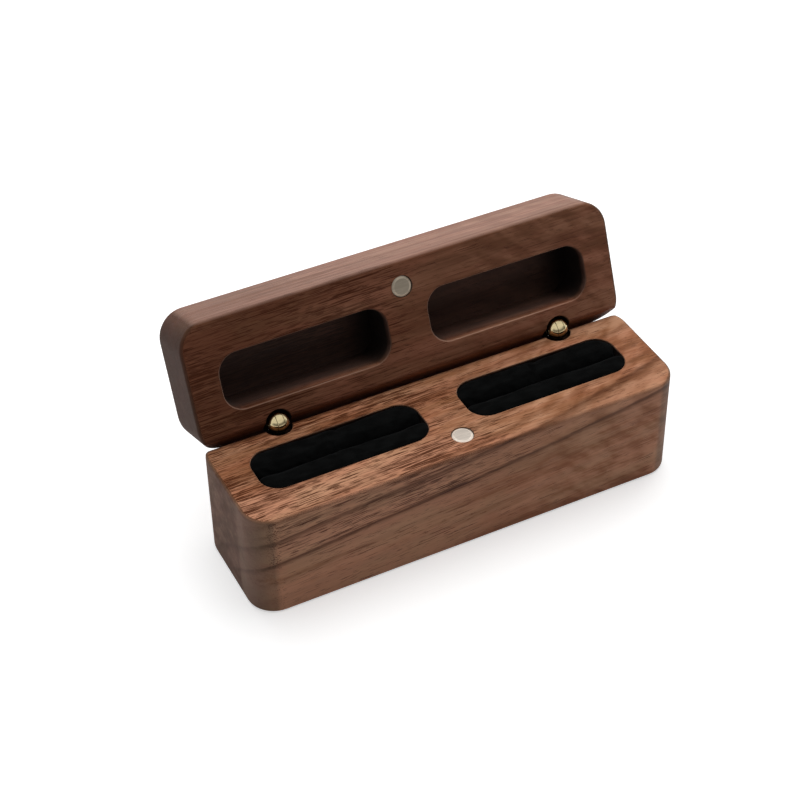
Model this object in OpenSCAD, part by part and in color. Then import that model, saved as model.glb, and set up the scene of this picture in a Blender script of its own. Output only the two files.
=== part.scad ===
// Hinged walnut display box with two velvet-lined pockets, drawn with its lid open.
// +X runs along the length, +Y towards the hinges, +Z up.
// The origin is the centre of the base's underside.

/* [Blocks] */
// Length of the box
body_length = 90; // [80:1:130]
// Width of the box, front face to rear face
body_width = 26; // [25:0.5:34]
// Height of the base block
base_height = 23; // [21:0.5:32]
// Height of the lid block
lid_height = 12.6; // [12.2:0.1:20]
// Radius of the four upright corners in plan
corner_radius = 5.5; // [3:0.1:7]
// Rounding of the base's outer edges
base_edge_round = 1; // [0.5:0.1:1.5]
// Rounding of the lid's outer edges
lid_edge_round = 0.7; // [0.3:0.1:1.2]
// Slack between the two mating faces when the lid is shut
closing_slack = 0.05; // [0.02:0.01:0.2]

/* [Pockets and recesses] */
// Wood between a pocket and the end of the box
end_wall = 6.35; // [4.5:0.05:9]
// Wood between the two pockets
middle_wall = 8.7; // [6.5:0.1:14]
// Wood between a pocket and the front face
front_wall = 7.5; // [5:0.1:8.5]
// Width of a pocket, front to rear
pocket_width = 11.2; // [9:0.1:12.2]
// Corner radius of a pocket in plan
pocket_corner = 4; // [2.6:0.1:4.4]
// Depth of a pocket below the base's top face
pocket_depth = 19; // [12:0.5:20]
// Depth of a recess above the lid's mating face
recess_depth = 9.2; // [5:0.1:10.5]

/* [Hinge side] */
// Angle through which the lid opens, up to its stop
lid_open_angle = 112; // [106:1:114]
// Distance from the rear face forward to the hinge axis
hinge_setback = 2.45; // [2.2:0.05:2.7]
// Height of the hinge axis above the base's top face
hinge_rise = 0.9; // [0.4:0.05:1.2]
// Distance from the left end to the middle of the left hinge
left_hinge_inset = 15.6; // [10:0.1:35]
// Distance from the right end to the middle of the right hinge
right_hinge_inset = 14; // [10:0.1:35]
// How far the base's rear bevel runs forward over its top face
base_bevel_run = 3; // [2.9:0.05:3.3]
// How far the base's rear bevel drops down the rear face
base_bevel_drop = 3; // [2.9:0.05:3.3]
// How far the lid's rear bevel runs forward over its mating face
lid_bevel_run = 3.2; // [3:0.05:3.8]
// Slack left between the two bevels at the open stop
stop_slack = 0.1; // [0.05:0.01:0.3]

/* [Hinge] */
// Diameter of the ball that the three knuckle slices make up
ball_diameter = 4.4; // [4:0.1:4.6]
// Radial room between the ball and its holes in the wood
ball_room = 0.5; // [0.35:0.05:0.6]
// Thickness of the eye, the middle slice of the ball
eye_thickness = 1.4; // [1.1:0.05:1.6]
// Slack on each side of the eye in the fork's slot
slot_slack = 0.05; // [0.03:0.01:0.1]
// Diameter of the two stems
stem_diameter = 2.6; // [2.3:0.1:2.8]
// Length of the stem in the base, below the ball
base_stem_length = 10; // [6:0.5:13]
// Length of the stem in the lid, beyond the ball
lid_stem_length = 6.2; // [4:0.1:6.5]
// Radial slack of a stem in its hole
stem_slack = 0.02; // [0.01:0.01:0.05]
// Diameter of the cross pin through the knuckle
pin_diameter = 1.2; // [0.9:0.1:1.3]
// Radial slack of the cross pin in the fork
pin_seat_slack = 0.02; // [0.01:0.01:0.03]
// Radial running slack of the cross pin in the eye
pin_running_slack = 0.04; // [0.02:0.01:0.08]

/* [Magnets] */
// Diameter of a magnet
magnet_diameter = 4; // [3:0.5:5]
// Thickness of a magnet
magnet_thickness = 2; // [1:0.5:3]
// Chamfer round a magnet's rim
magnet_chamfer = 0.3; // [0.1:0.05:0.4]
// Distance from the front face to the middle of a magnet
magnet_inset = 5.25; // [4.5:0.05:9]
// Radial gap round a magnet in its hole
magnet_gap = 0.15; // [0.05:0.05:0.3]
// Depth of a magnet's face below the wood
magnet_sink = 0.05; // [0.02:0.01:0.3]

/* [Pads] */
// Thickness of the card under each pair of pad halves
card_thickness = 1; // [0.5:0.1:2]
// Gap between the pads or the card and the pocket's wall
pad_gap = 0.2; // [0.15:0.05:0.5]
// Width of the slit between the two halves of a pad
slit_width = 0.5; // [0.3:0.1:1]
// Thickness of the velvet cover on a pad's sides
velvet_thickness = 0.6; // [0.5:0.05:1]
// Slack between the foam core and its cover
core_slack = 0.05; // [0.02:0.01:0.1]
// Depth of a pad's crown below the base's top face
pad_drop = 0.7; // [0.3:0.1:3]
// Height of the crown above the pad's shoulders
crown_height = 1.6; // [0.8:0.1:3]
// Corner radius of a pad half beside the slit
slit_corner = 1.3; // [1:0.1:1.6]
// How far a pad's sides draw in at half height
side_draw = 0.15; // [0:0.05:0.25]

/* [Hidden] */

$fn = 64;
// Segments round a block's corner post, and steps in the rounding of its edges
post_segments = 40;
round_steps = 5;
// Extra reach of a cutting shape past the face that it opens
cut = 1;

// Walnut, brass, nickel, card, foam and black velvet
walnut = [0.40, 0.26, 0.20];
walnut_dark = [0.33, 0.21, 0.17];
brass = [0.83, 0.69, 0.37];
nickel = [0.74, 0.72, 0.69];
card_grey = [0.25, 0.24, 0.23];
foam_grey = [0.35, 0.35, 0.36];
velvet_black = [0.05, 0.05, 0.06];

front = -body_width / 2;
rear = body_width / 2;
right_end = body_length / 2;
lid_bottom = base_height + closing_slack;

// Both blocks have the same pair of openings
pocket_length = (body_length - 2 * end_wall - middle_wall) / 2;
pocket_x = (middle_wall + pocket_length) / 2;
pocket_y = front + front_wall + pocket_width / 2;
pocket_floor = base_height - pocket_depth;

axis_y = rear - hinge_setback;
axis_z = base_height + hinge_rise;
left_hinge_x = left_hinge_inset - right_end;
right_hinge_x = right_end - right_hinge_inset;

ball_radius = ball_diameter / 2;
ball_hole_radius = ball_radius + ball_room;
// Radius swept clear round the eye, in which the fork leaves room for it
eye_sweep = ball_radius + 0.15;
// Clear depth past the ball at the bottom of its hole
ball_floor_room = 0.3;
base_ball_hole = ball_radius - hinge_rise + ball_floor_room;
lid_ball_hole = ball_radius + axis_z - lid_bottom + ball_floor_room;
stem_end_room = 0.2;

magnet_y = front + magnet_inset;
magnet_hole_depth = magnet_thickness + magnet_sink;

// The lid's rear corner, swung open, meets the base's bevel with only the stop's slack.
// It is the rise of the lid's bevel that brings the corner there.
bevel_angle = atan2(base_bevel_drop, base_bevel_run);
corner_across = hinge_setback * (cos(lid_open_angle) - 1) + base_bevel_run;
corner_down = hinge_setback * sin(lid_open_angle) - hinge_rise;
corner_above_axis = (stop_slack - corner_across * sin(bevel_angle) + corner_down * cos(bevel_angle))
    / cos(lid_open_angle - bevel_angle);
lid_bevel_rise = corner_above_axis + axis_z - lid_bottom;

// One half of a pad: its corner beside the wall follows the pocket's corner
pad_length = pocket_length - 2 * pad_gap;
half_width = (pocket_width - slit_width) / 2 - pad_gap;
wall_corner = pocket_corner - pad_gap;
pad_bottom = pocket_floor + card_thickness;
pad_top = base_height - pad_drop;
shoulder = pad_top - crown_height;
// Points in a corner of a pad's outline and along each long side, and rings up its form
corner_points = 5;
side_points = 6;
side_rings = 4;
crown_rings = 6;
// Power that fills out the crown: 1 is a half ellipse, less is fuller
crown_fullness = 0.55;
// Angle at which the crown's last ring lies, just short of the top
crown_last_angle = 82;

// Points of an arc about [x, y]
function arc(x, y, r, from, to, steps) = [
    for (i = [0 : steps])
        let (a = from + (to - from) * i / steps)
        [x + r * cos(a), y + r * sin(a)]
];

// Plan of one pad half: the slit side lies on y = 0 and the wall side on y = w
function half_plan(l, w, slit_r, wall_r) = concat(
    arc(l / 2 - slit_r, slit_r, slit_r, -90, 0, corner_points),
    arc(l / 2 - wall_r, w - wall_r, wall_r, 0, 90, corner_points),
    [for (i = [1 : side_points]) [(l / 2 - wall_r) * (1 - 2 * i / (side_points + 1)), w]],
    arc(wall_r - l / 2, w - wall_r, wall_r, 90, 180, corner_points),
    arc(slit_r - l / 2, slit_r, slit_r, 180, 270, corner_points),
    [for (i = [1 : side_points]) [(slit_r - l / 2) * (1 - 2 * i / (side_points + 1)), 0]]
);

// A ring of the plan at height z, drawn towards the pad's long middle line by 1 - k
function pad_ring(plan, l, w, k, z) = [
    for (p = plan)
        let (reach = l / 2 - w / 2, m = max(-reach, min(reach, p[0])))
        [m + (p[0] - m) * k, w / 2 + (p[1] - w / 2) * k, z]
];

// Outline that a post turns into: a straight wall with rounded top and bottom edges
function post_profile(r, h, e) = concat(
    [[0, 0]],
    arc(r - e, e, e, -90, 0, round_steps),
    arc(r - e, h - e, e, 0, 90, round_steps),
    [[0, h]]
);

// Block with rounded upright corners and rounded edges, standing on z = 0
module rounded_block(l, w, h, r, e) {
    hull()
        for (sx = [-1, 1], sy = [-1, 1])
            translate([sx * (l / 2 - r), sy * (w / 2 - r), 0])
                rotate_extrude($fn = post_segments)
                    polygon(post_profile(r, h, e));
}

module rounded_plan(l, w, r) {
    union() {
        square([l - 2 * r, w], center = true);
        square([l, w - 2 * r], center = true);
        for (sx = [-1, 1], sy = [-1, 1])
            translate([sx * (l / 2 - r), sy * (w / 2 - r)])
                circle(r = r);
    }
}

// Carries a shape drawn on the Y-Z plane along the whole length
module along_length() {
    rotate([90, 0, 90])
        linear_extrude(body_length + 2 * cut, center = true)
            children();
}

// Turns what is drawn on the shut lid to where the lid stands open
module swing_open() {
    translate([0, axis_y, axis_z])
        rotate([-lid_open_angle, 0, 0])
            translate([0, -axis_y, -axis_z])
                children();
}

// Both pocket outlines, extruded upwards by depth
module pocket_pair(depth) {
    for (side = [-1, 1])
        translate([side * pocket_x, pocket_y, 0])
            linear_extrude(depth)
                rounded_plan(pocket_length, pocket_width, pocket_corner);
}

// Ball hole and stem hole of one hinge, drawn upwards from the mouth at z = 0
module hinge_hole(ball_depth, stem_tip) {
    translate([0, 0, -cut])
        cylinder(r = ball_hole_radius, h = ball_depth + cut);
    cylinder(d = stem_diameter + 2 * stem_slack, h = stem_tip + stem_end_room);
}

module magnet_hole() {
    translate([0, magnet_y, 0])
        cylinder(d = magnet_diameter + 2 * magnet_gap, h = magnet_hole_depth + cut);
}

// Wood taken off above the base's rear bevel
module base_bevel() {
    slope = base_bevel_drop / base_bevel_run;
    along_length()
        polygon([
            [rear - base_bevel_run - cut / slope, base_height + cut],
            [rear + cut, base_height + cut],
            [rear + cut, base_height - base_bevel_drop - cut * slope]
        ]);
}

// Wood taken off below the lid's rear bevel, on the shut lid
module lid_bevel() {
    slope = lid_bevel_rise / lid_bevel_run;
    along_length()
        polygon([
            [rear - lid_bevel_run - cut / slope, lid_bottom - cut],
            [rear + cut, lid_bottom - cut],
            [rear + cut, lid_bottom + lid_bevel_rise + cut * slope]
        ]);
}

module base_body() {
    color(walnut)
        difference() {
            rounded_block(body_length, body_width, base_height, corner_radius, base_edge_round);
            translate([0, 0, pocket_floor])
                pocket_pair(pocket_depth + cut);
            base_bevel();
            translate([0, 0, base_height - magnet_hole_depth])
                magnet_hole();
            for (x = [left_hinge_x, right_hinge_x])
                translate([x, axis_y, base_height])
                    mirror([0, 0, 1])
                        hinge_hole(base_ball_hole, ball_radius - hinge_rise + base_stem_length);
        }
}

module lid_body() {
    color(walnut_dark)
        swing_open()
            difference() {
                translate([0, 0, lid_bottom])
                    rounded_block(body_length, body_width, lid_height, corner_radius, lid_edge_round);
                translate([0, 0, lid_bottom - cut])
                    pocket_pair(recess_depth + cut);
                lid_bevel();
                translate([0, 0, lid_bottom - cut])
                    magnet_hole();
                for (x = [left_hinge_x, right_hinge_x])
                    translate([x, axis_y, lid_bottom])
                        hinge_hole(lid_ball_hole, ball_radius + axis_z - lid_bottom + lid_stem_length);
            }
}

// Disc magnet with a chamfered rim, standing on z = 0
module magnet() {
    r = magnet_diameter / 2;
    c = magnet_chamfer;
    h = magnet_thickness;
    rotate_extrude()
        polygon([[0, 0], [r - c, 0], [r, c], [r, h - c], [r - c, h], [0, h]]);
}

module base_magnet() {
    color(nickel)
        translate([0, magnet_y, base_height - magnet_hole_depth])
            magnet();
}

module lid_magnet() {
    color(nickel)
        swing_open()
            translate([0, magnet_y, lid_bottom + magnet_sink])
                magnet();
}

// Slab across the knuckle, of thickness t about the middle of the hinge
module knuckle_slab(t, r) {
    rotate([0, 90, 0])
        cylinder(r = r, h = t, center = true);
}

// Two outer slices of the ball on a stem that points down, with the axis at the origin
module hinge_fork() {
    stem_reach = ball_radius + base_stem_length;
    difference() {
        union() {
            sphere(r = ball_radius);
            translate([0, 0, -stem_reach])
                cylinder(d = stem_diameter, h = stem_reach - pin_diameter);
        }
        knuckle_slab(eye_thickness + 2 * slot_slack, eye_sweep);
        knuckle_slab(2 * ball_diameter, pin_diameter / 2 + pin_seat_slack);
    }
}

// Middle slice of the ball on a stem that points up, with the axis at the origin
module hinge_eye() {
    difference() {
        union() {
            intersection() {
                sphere(r = ball_radius);
                knuckle_slab(eye_thickness, ball_diameter);
            }
            intersection() {
                cylinder(d = stem_diameter, h = eye_sweep + stem_end_room);
                knuckle_slab(eye_thickness, ball_diameter);
            }
            translate([0, 0, eye_sweep])
                cylinder(d = stem_diameter, h = ball_radius + lid_stem_length - eye_sweep);
        }
        knuckle_slab(ball_diameter, pin_diameter / 2 + pin_running_slack);
    }
}

// Cross pin, cut to end just inside the ball
module hinge_pin() {
    reach = sqrt(pow(ball_radius, 2) - pow(pin_diameter / 2, 2));
    knuckle_slab(2 * reach, pin_diameter / 2);
}

// Places a hinge piece at one hinge
module at_hinge(x) {
    translate([x, axis_y, axis_z])
        children();
}

module left_hinge_fork() {
    color(brass)
        at_hinge(left_hinge_x)
            hinge_fork();
}

module left_hinge_eye() {
    color(brass)
        swing_open()
            at_hinge(left_hinge_x)
                hinge_eye();
}

module left_hinge_pin() {
    color(brass)
        at_hinge(left_hinge_x)
            hinge_pin();
}

module right_hinge_fork() {
    color(brass)
        at_hinge(right_hinge_x)
            hinge_fork();
}

module right_hinge_eye() {
    color(brass)
        swing_open()
            at_hinge(right_hinge_x)
                hinge_eye();
}

module right_hinge_pin() {
    color(brass)
        at_hinge(right_hinge_x)
            hinge_pin();
}

// Card that the pad's halves are glued to, on the pocket's floor
module pad_card() {
    translate([0, pocket_y, pocket_floor])
        linear_extrude(card_thickness)
            rounded_plan(pad_length, pocket_width - 2 * pad_gap, wall_corner);
}

// Prism that fills a pad half's cover up to the height z, inset from the cover's outside
module pad_core(inset, z) {
    translate([0, inset, pad_bottom])
        linear_extrude(z - pad_bottom)
            polygon(half_plan(pad_length - 2 * inset, half_width - 2 * inset,
                              slit_corner - inset, wall_corner - inset));
}

// Closed form of one pad half: sides that draw in below the shoulder, and a full crown above
module pad_form() {
    plan = half_plan(pad_length, half_width, slit_corner, wall_corner);
    n = len(plan);
    sides = [
        for (i = [0 : side_rings])
            let (s = i / side_rings)
            pad_ring(plan, pad_length, half_width,
                     1 - 2 * side_draw / half_width * sin(180 * s),
                     pad_bottom + (shoulder - pad_bottom) * s)
    ];
    crown = [
        for (i = [1 : crown_rings])
            let (a = crown_last_angle * i / crown_rings)
            pad_ring(plan, pad_length, half_width,
                     pow(cos(a), crown_fullness), shoulder + crown_height * pow(sin(a), crown_fullness))
    ];
    rings = concat(sides, crown);
    count = len(rings);
    ends = [[0, half_width / 2, pad_bottom], [0, half_width / 2, pad_top]];
    points = concat([for (ring = rings) for (p = ring) p], ends);
    walls = [
        for (j = [0 : count - 2], i = [0 : n - 1])
            let (a = j * n + i, b = j * n + (i + 1) % n)
            each [[a, a + n, b], [b, a + n, b + n]]
    ];
    floor_fan = [for (i = [0 : n - 1]) [n * count, i, (i + 1) % n]];
    last = n * (count - 1);
    top_fan = [for (i = [0 : n - 1]) [n * count + 1, last + (i + 1) % n, last + i]];
    polyhedron(points = points, faces = concat(walls, floor_fan, top_fan), convexity = 4);
}

// Velvet cover of one pad half, hollow underneath where the foam core fills it
module pad_cover() {
    difference() {
        pad_form();
        translate([0, 0, -cut])
            pad_core(velvet_thickness, shoulder + cut);
    }
}

module pad_foam() {
    pad_core(velvet_thickness + core_slack, shoulder - core_slack);
}

// Puts a pad half behind the slit, or mirrored in front of it
module rear_half() {
    translate([0, pocket_y + slit_width / 2, 0])
        children();
}

module front_half() {
    translate([0, pocket_y - slit_width / 2, 0])
        mirror([0, 1, 0])
            children();
}

module left_pad_card() {
    color(card_grey)
        translate([-pocket_x, 0, 0])
            pad_card();
}

module left_front_pad_foam() {
    color(foam_grey)
        translate([-pocket_x, 0, 0])
            front_half()
                pad_foam();
}

module left_front_pad_cover() {
    color(velvet_black)
        translate([-pocket_x, 0, 0])
            front_half()
                pad_cover();
}

module left_rear_pad_foam() {
    color(foam_grey)
        translate([-pocket_x, 0, 0])
            rear_half()
                pad_foam();
}

module left_rear_pad_cover() {
    color(velvet_black)
        translate([-pocket_x, 0, 0])
            rear_half()
                pad_cover();
}

module right_pad_card() {
    color(card_grey)
        translate([pocket_x, 0, 0])
            pad_card();
}

module right_front_pad_foam() {
    color(foam_grey)
        translate([pocket_x, 0, 0])
            front_half()
                pad_foam();
}

module right_front_pad_cover() {
    color(velvet_black)
        translate([pocket_x, 0, 0])
            front_half()
                pad_cover();
}

module right_rear_pad_foam() {
    color(foam_grey)
        translate([pocket_x, 0, 0])
            rear_half()
                pad_foam();
}

module right_rear_pad_cover() {
    color(velvet_black)
        translate([pocket_x, 0, 0])
            rear_half()
                pad_cover();
}

base_body();
lid_body();
base_magnet();
lid_magnet();
left_hinge_fork();
left_hinge_eye();
left_hinge_pin();
right_hinge_fork();
right_hinge_eye();
right_hinge_pin();
left_pad_card();
left_front_pad_foam();
left_front_pad_cover();
left_rear_pad_foam();
left_rear_pad_cover();
right_pad_card();
right_front_pad_foam();
right_front_pad_cover();
right_rear_pad_foam();
right_rear_pad_cover();
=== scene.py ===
"""Hinged walnut display box with two velvet slit pads, shown open on a white studio floor.

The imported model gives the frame. Every visible piece is modelled here at the same sizes and
rides on the model's own bodies: the base, and the lid, which turns on two brass knuckles.
Lengths are millimetres in the size classes and metres in the meshes.
"""

import logging
import math
from collections.abc import Callable, Sequence
from dataclasses import dataclass, replace
from enum import Enum

import bmesh
import bpy
from mathutils import Euler, Matrix, Vector


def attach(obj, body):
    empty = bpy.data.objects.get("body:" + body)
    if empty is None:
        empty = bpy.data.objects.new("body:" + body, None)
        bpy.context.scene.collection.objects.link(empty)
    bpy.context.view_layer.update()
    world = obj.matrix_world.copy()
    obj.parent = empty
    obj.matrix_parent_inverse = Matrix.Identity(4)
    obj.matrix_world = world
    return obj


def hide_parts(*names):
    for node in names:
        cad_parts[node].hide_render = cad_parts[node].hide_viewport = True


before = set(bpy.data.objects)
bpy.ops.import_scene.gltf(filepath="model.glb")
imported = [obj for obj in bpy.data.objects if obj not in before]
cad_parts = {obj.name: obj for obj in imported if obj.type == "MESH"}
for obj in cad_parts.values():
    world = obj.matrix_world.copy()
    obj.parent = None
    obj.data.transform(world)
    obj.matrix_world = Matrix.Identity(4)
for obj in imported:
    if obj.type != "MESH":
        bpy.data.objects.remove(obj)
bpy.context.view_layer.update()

MM = 0.001
# Places in metres that are nearer than this are the same
SAME = 1e-6
log = logging.getLogger("display_box")

Colour = tuple[float, float, float]
Triple = tuple[float, float, float]
Pair = tuple[float, float]
# A low and a high value, and what the two become
Range = tuple[float, float, float, float]
Socket = bpy.types.NodeSocket
Edge = bmesh.types.BMEdge
Face = bmesh.types.BMFace


class Body(Enum):
    """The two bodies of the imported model."""

    BASE = "base"
    LID = "lid"


class Slot(Enum):
    """Names of the record's material slots."""

    WALNUT_BASE = "walnut_base"
    WALNUT_LID = "walnut_lid"
    NICKEL = "nickel"
    BRASS = "brass"
    VELVET = "velvet"


class Side(Enum):
    """The two ends of the box, as signs along X."""

    LEFT = -1
    RIGHT = 1

    @property
    def word(self) -> str:
        """The side as a word in a piece's name."""
        return self.name.lower()


class Half(Enum):
    """The two halves of a pad, as signs along Y."""

    FRONT = -1
    REAR = 1

    @property
    def word(self) -> str:
        """The half as a word in a piece's name."""
        return self.name.lower()


class Mouth(Enum):
    """Which way a block's mating face looks when the box is shut, as signs along Z."""

    UP = 1
    DOWN = -1


class Part(Enum):
    """What is picked in edit mode."""

    EDGE = "EDGE"
    FACE = "FACE"


class Way(Enum):
    """What a tool does to a piece."""

    CUT = "DIFFERENCE"
    JOIN = "UNION"
    CROSS = "INTERSECT"


# ---------------------------------------------------------------- sizes


@dataclass(frozen=True)
class BoxSizes:
    """Sizes of the two blocks and of what is cut into both, in millimetres."""

    length: float = 90.0
    width: float = 26.0
    base_height: float = 23.0
    lid_height: float = 12.6
    closing_slack: float = 0.05
    corner_radius: float = 5.5
    pocket_length: float = 34.3
    pocket_width: float = 11.2
    pocket_corner: float = 4.0
    pocket_x: float = 21.5
    pocket_y: float = 0.1
    axis_y: float = 10.55
    axis_z: float = 23.9
    open_angle: float = 112.0

    @property
    def lid_bottom(self) -> float:
        """Height of the lid's mating face when shut."""
        return self.base_height + self.closing_slack

    @property
    def axis(self) -> Vector:
        """The middle of the hinge axis."""
        return Vector((0, self.axis_y, self.axis_z))

    @property
    def swing(self) -> Matrix:
        """Turn from the shut lid to the lid on its stop.

        Returns:
            The matrix, for meshes in metres.
        """
        axis = self.axis * MM
        turn = Matrix.Rotation(math.radians(-self.open_angle), 4, "X")
        return Matrix.Translation(axis) @ turn @ Matrix.Translation(-axis)


BOX = BoxSizes()


@dataclass(frozen=True)
class BlockSizes:
    """Sizes of one block before it is turned, in millimetres."""

    name: str
    mouth: Mouth
    bottom: float
    height: float
    edge_round: float
    corner_steps: int
    # Rear bevel: its reach over the mating face, and up or down the rear face
    bevel_run: float
    bevel_rise: float
    hollow_depth: float
    # Rounding of the bevel's edges, and of the lid's edge that meets the base as a stop
    bevel_round: float = 0.55
    stop_round: float = 0.06
    # Share of the stop's slack that the bevel takes up
    bevel_ease: float = 0.045
    magnet_depth: float = 2.05
    magnet_radius: float = 2.15
    magnet_y: float = -7.75
    ball_radius: float = 2.7
    ball_depth: float = 1.6
    stem_radius: float = 1.32
    stem_depth: float = 11.5
    hinge_x: Pair = (-29.4, 31.0)
    # Roundings of the rims, and how many flats make one
    rim_round: float = 0.22
    pocket_round: float = 0.22
    magnet_round: float = 0.07
    rim_steps: int = 4
    # How far a cutting tool stands out of the mating face, and how much it widens there
    tool_reach: float = 1.0
    tool_flare: float = 0.001
    # Corners of the outline that are nearer than this become one
    merge: float = 0.03

    @property
    def up(self) -> int:
        """1 where the mating face is on top, -1 where it is below."""
        return self.mouth.value

    @property
    def face(self) -> float:
        """Height of the mating face."""
        return self.bottom + (self.height if self.mouth is Mouth.UP else 0.0)


BASE_SIZES = BlockSizes(
    "base_block",
    Mouth.UP,
    bottom=0.0,
    height=BOX.base_height,
    edge_round=0.6,
    corner_steps=10,
    bevel_run=3.0,
    bevel_rise=3.0,
    hollow_depth=19.0,
    pocket_round=0.12,
)
LID_SIZES = BlockSizes(
    "lid_block",
    Mouth.DOWN,
    bottom=BOX.lid_bottom,
    height=BOX.lid_height,
    edge_round=0.7,
    corner_steps=11,
    bevel_run=3.2,
    bevel_rise=4.254,
    hollow_depth=9.2,
    ball_depth=3.35,
    stem_depth=9.45,
)


# ---------------------------------------------------------------- hand tools


def free_hands() -> None:
    """Leaves edit mode and deselects every object."""
    if bpy.context.object is not None and bpy.context.object.mode != "OBJECT":
        bpy.ops.object.mode_set(mode="OBJECT")
    bpy.ops.object.select_all(action="DESELECT")


def take(piece: bpy.types.Object) -> None:
    """Makes a piece the only selected and the active object.

    Args:
        piece: The object to take in hand.
    """
    free_hands()
    piece.select_set(True)
    bpy.context.view_layer.objects.active = piece


def named(name: str) -> bpy.types.Object:
    """Names the active object and its mesh.

    Args:
        name: The piece's name.

    Returns:
        The active object.
    """
    piece = bpy.context.object
    piece.name = name
    piece.data.name = name
    return piece


def settle(piece: bpy.types.Object) -> None:
    """Moves a piece's place, turn and scale into its mesh."""
    take(piece)
    bpy.ops.object.transform_apply(location=True, rotation=True, scale=True)


def copy_of(piece: bpy.types.Object, name: str, move: Matrix) -> bpy.types.Object:
    """Copies a piece, with a mesh of its own.

    Args:
        piece: The object to copy.
        name: The copy's name.
        move: Where the copy goes from there.

    Returns:
        The copy.
    """
    take(piece)
    bpy.ops.object.duplicate(linked=False)
    copy = named(name)
    copy.data.transform(move)
    return copy


def throw_away(piece: bpy.types.Object) -> None:
    """Removes an object and its mesh.

    Args:
        piece: The object, which no longer exists afterwards.
    """
    mesh = piece.data
    bpy.data.objects.remove(piece)
    bpy.data.meshes.remove(mesh)


def add_slab(name: str, low: Sequence[float], high: Sequence[float]) -> bpy.types.Object:
    """Adds a slab between two corners.

    Args:
        name: The piece's name.
        low: Lowest corner in millimetres.
        high: Highest corner in millimetres.

    Returns:
        The slab, settled at the origin.
    """
    free_hands()
    a, b = Vector(low) * MM, Vector(high) * MM
    bpy.ops.mesh.primitive_cube_add(size=1, location=(a + b) / 2)
    piece = named(name)
    piece.scale = b - a
    settle(piece)
    return piece


def add_rod(
    name: str, radius: float, foot: Sequence[float], height: float, sides: int = 96
) -> bpy.types.Object:
    """Adds an upright round rod.

    Args:
        name: The piece's name.
        radius: Radius in millimetres.
        foot: Centre of the lower end in millimetres.
        height: Length upwards in millimetres.
        sides: Number of sides.

    Returns:
        The rod, settled at the origin.
    """
    free_hands()
    centre = Vector(foot) + Vector((0, 0, height / 2))
    bpy.ops.mesh.primitive_cylinder_add(
        vertices=sides, radius=radius * MM, depth=height * MM, location=centre * MM
    )
    piece = named(name)
    settle(piece)
    return piece


def pick(piece: bpy.types.Object, kind: Part, wanted: Callable[[Edge | Face], bool]) -> None:
    """Enters edit mode with exactly the wanted edges or faces selected.

    Args:
        piece: The object to edit.
        kind: Whether edges or faces are picked.
        wanted: Says whether an edge or a face is selected.
    """
    take(piece)
    bpy.ops.object.mode_set(mode="EDIT")
    bpy.ops.mesh.select_mode(type=kind.value)
    bpy.ops.mesh.select_all(action="DESELECT")
    mesh = bmesh.from_edit_mesh(piece.data)
    for part in mesh.edges if kind is Part.EDGE else mesh.faces:
        if wanted(part):
            part.select_set(True)
    mesh.select_flush_mode()
    bmesh.update_edit_mesh(piece.data)


def done() -> None:
    """Leaves edit mode."""
    bpy.ops.object.mode_set(mode="OBJECT")


def is_upright(edge: Edge) -> bool:
    """Says whether an edge runs along Z."""
    a, b = (v.co for v in edge.verts)
    return abs(a.x - b.x) < 0.1 * SAME and abs(a.y - b.y) < 0.1 * SAME


def is_crisp(edge: Edge) -> bool:
    """Says whether two faces meet at an edge by more than a radian."""
    return edge.calc_face_angle(0.0) > 1.0


def apply_modifier(piece: bpy.types.Object, kind: str, **settings: object) -> None:
    """Adds a modifier, sets it and applies it at once.

    Args:
        piece: The object that gets it.
        kind: The modifier's type.
        **settings: Its settings by name.
    """
    take(piece)
    bpy.ops.object.modifier_add(type=kind)
    modifier = piece.modifiers[-1]
    for key, value in settings.items():
        setattr(modifier, key, value)
    bpy.ops.object.modifier_apply(modifier=modifier.name)


def combine(piece: bpy.types.Object, tool: bpy.types.Object, way: Way = Way.CUT) -> None:
    """Cuts, joins or crosses a piece with a tool, which is then thrown away."""
    apply_modifier(piece, "BOOLEAN", operation=way.value, object=tool, solver="EXACT")
    throw_away(tool)


def smooth(piece: bpy.types.Object, angle: float = 32.0) -> None:
    """Shades a piece smooth up to an angle, with flat faces kept flat.

    Args:
        piece: The object to shade.
        angle: Largest bend that is shaded smooth, in degrees.
    """
    take(piece)
    bpy.ops.object.shade_smooth_by_angle(angle=math.radians(angle))
    apply_modifier(piece, "WEIGHTED_NORMAL", keep_sharp=True, weight=100)


def open_count(piece: bpy.types.Object) -> int:
    """Counts the edges of a piece that don't have two faces.

    Args:
        piece: The object to look at.

    Returns:
        The number of open or crowded edges, 0 on a closed shell.
    """
    mesh = bmesh.new()
    mesh.from_mesh(piece.data)
    count = sum(1 for edge in mesh.edges if len(edge.link_faces) != 2)
    mesh.free()
    return count


def fit_out(
    piece: bpy.types.Object, body: Body, slot: Slot, finish: bpy.types.Material, *nodes: str
) -> None:
    """Dresses a finished piece and puts it in the frame.

    Args:
        piece: The object.
        body: The body that it rides on.
        slot: The record's material slot, not used.
        finish: Its material.
        *nodes: The CAD nodes that it stands for.
    """
    piece.data.materials.clear()
    piece.data.materials.append(finish)
    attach(piece, body.value)
    if nodes:
        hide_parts(*nodes)
    faces, gaps = len(piece.data.polygons), open_count(piece)
    log.info("%s: %d faces, %d open edges, on %s", piece.name, faces, gaps, body.value)


# ---------------------------------------------------------------- finishes


@dataclass(frozen=True)
class Cloud:
    """A layer of cloudy noise, with its frequency along each axis."""

    stretch: Triple
    detail: float = 2.0
    rough: float = 0.5
    move: Triple = (0.0, 0.0, 0.0)
    turn: Triple = (0.0, 0.0, 0.0)
    # How much of the layer goes into what it is mixed with
    weight: float = 1.0


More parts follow.
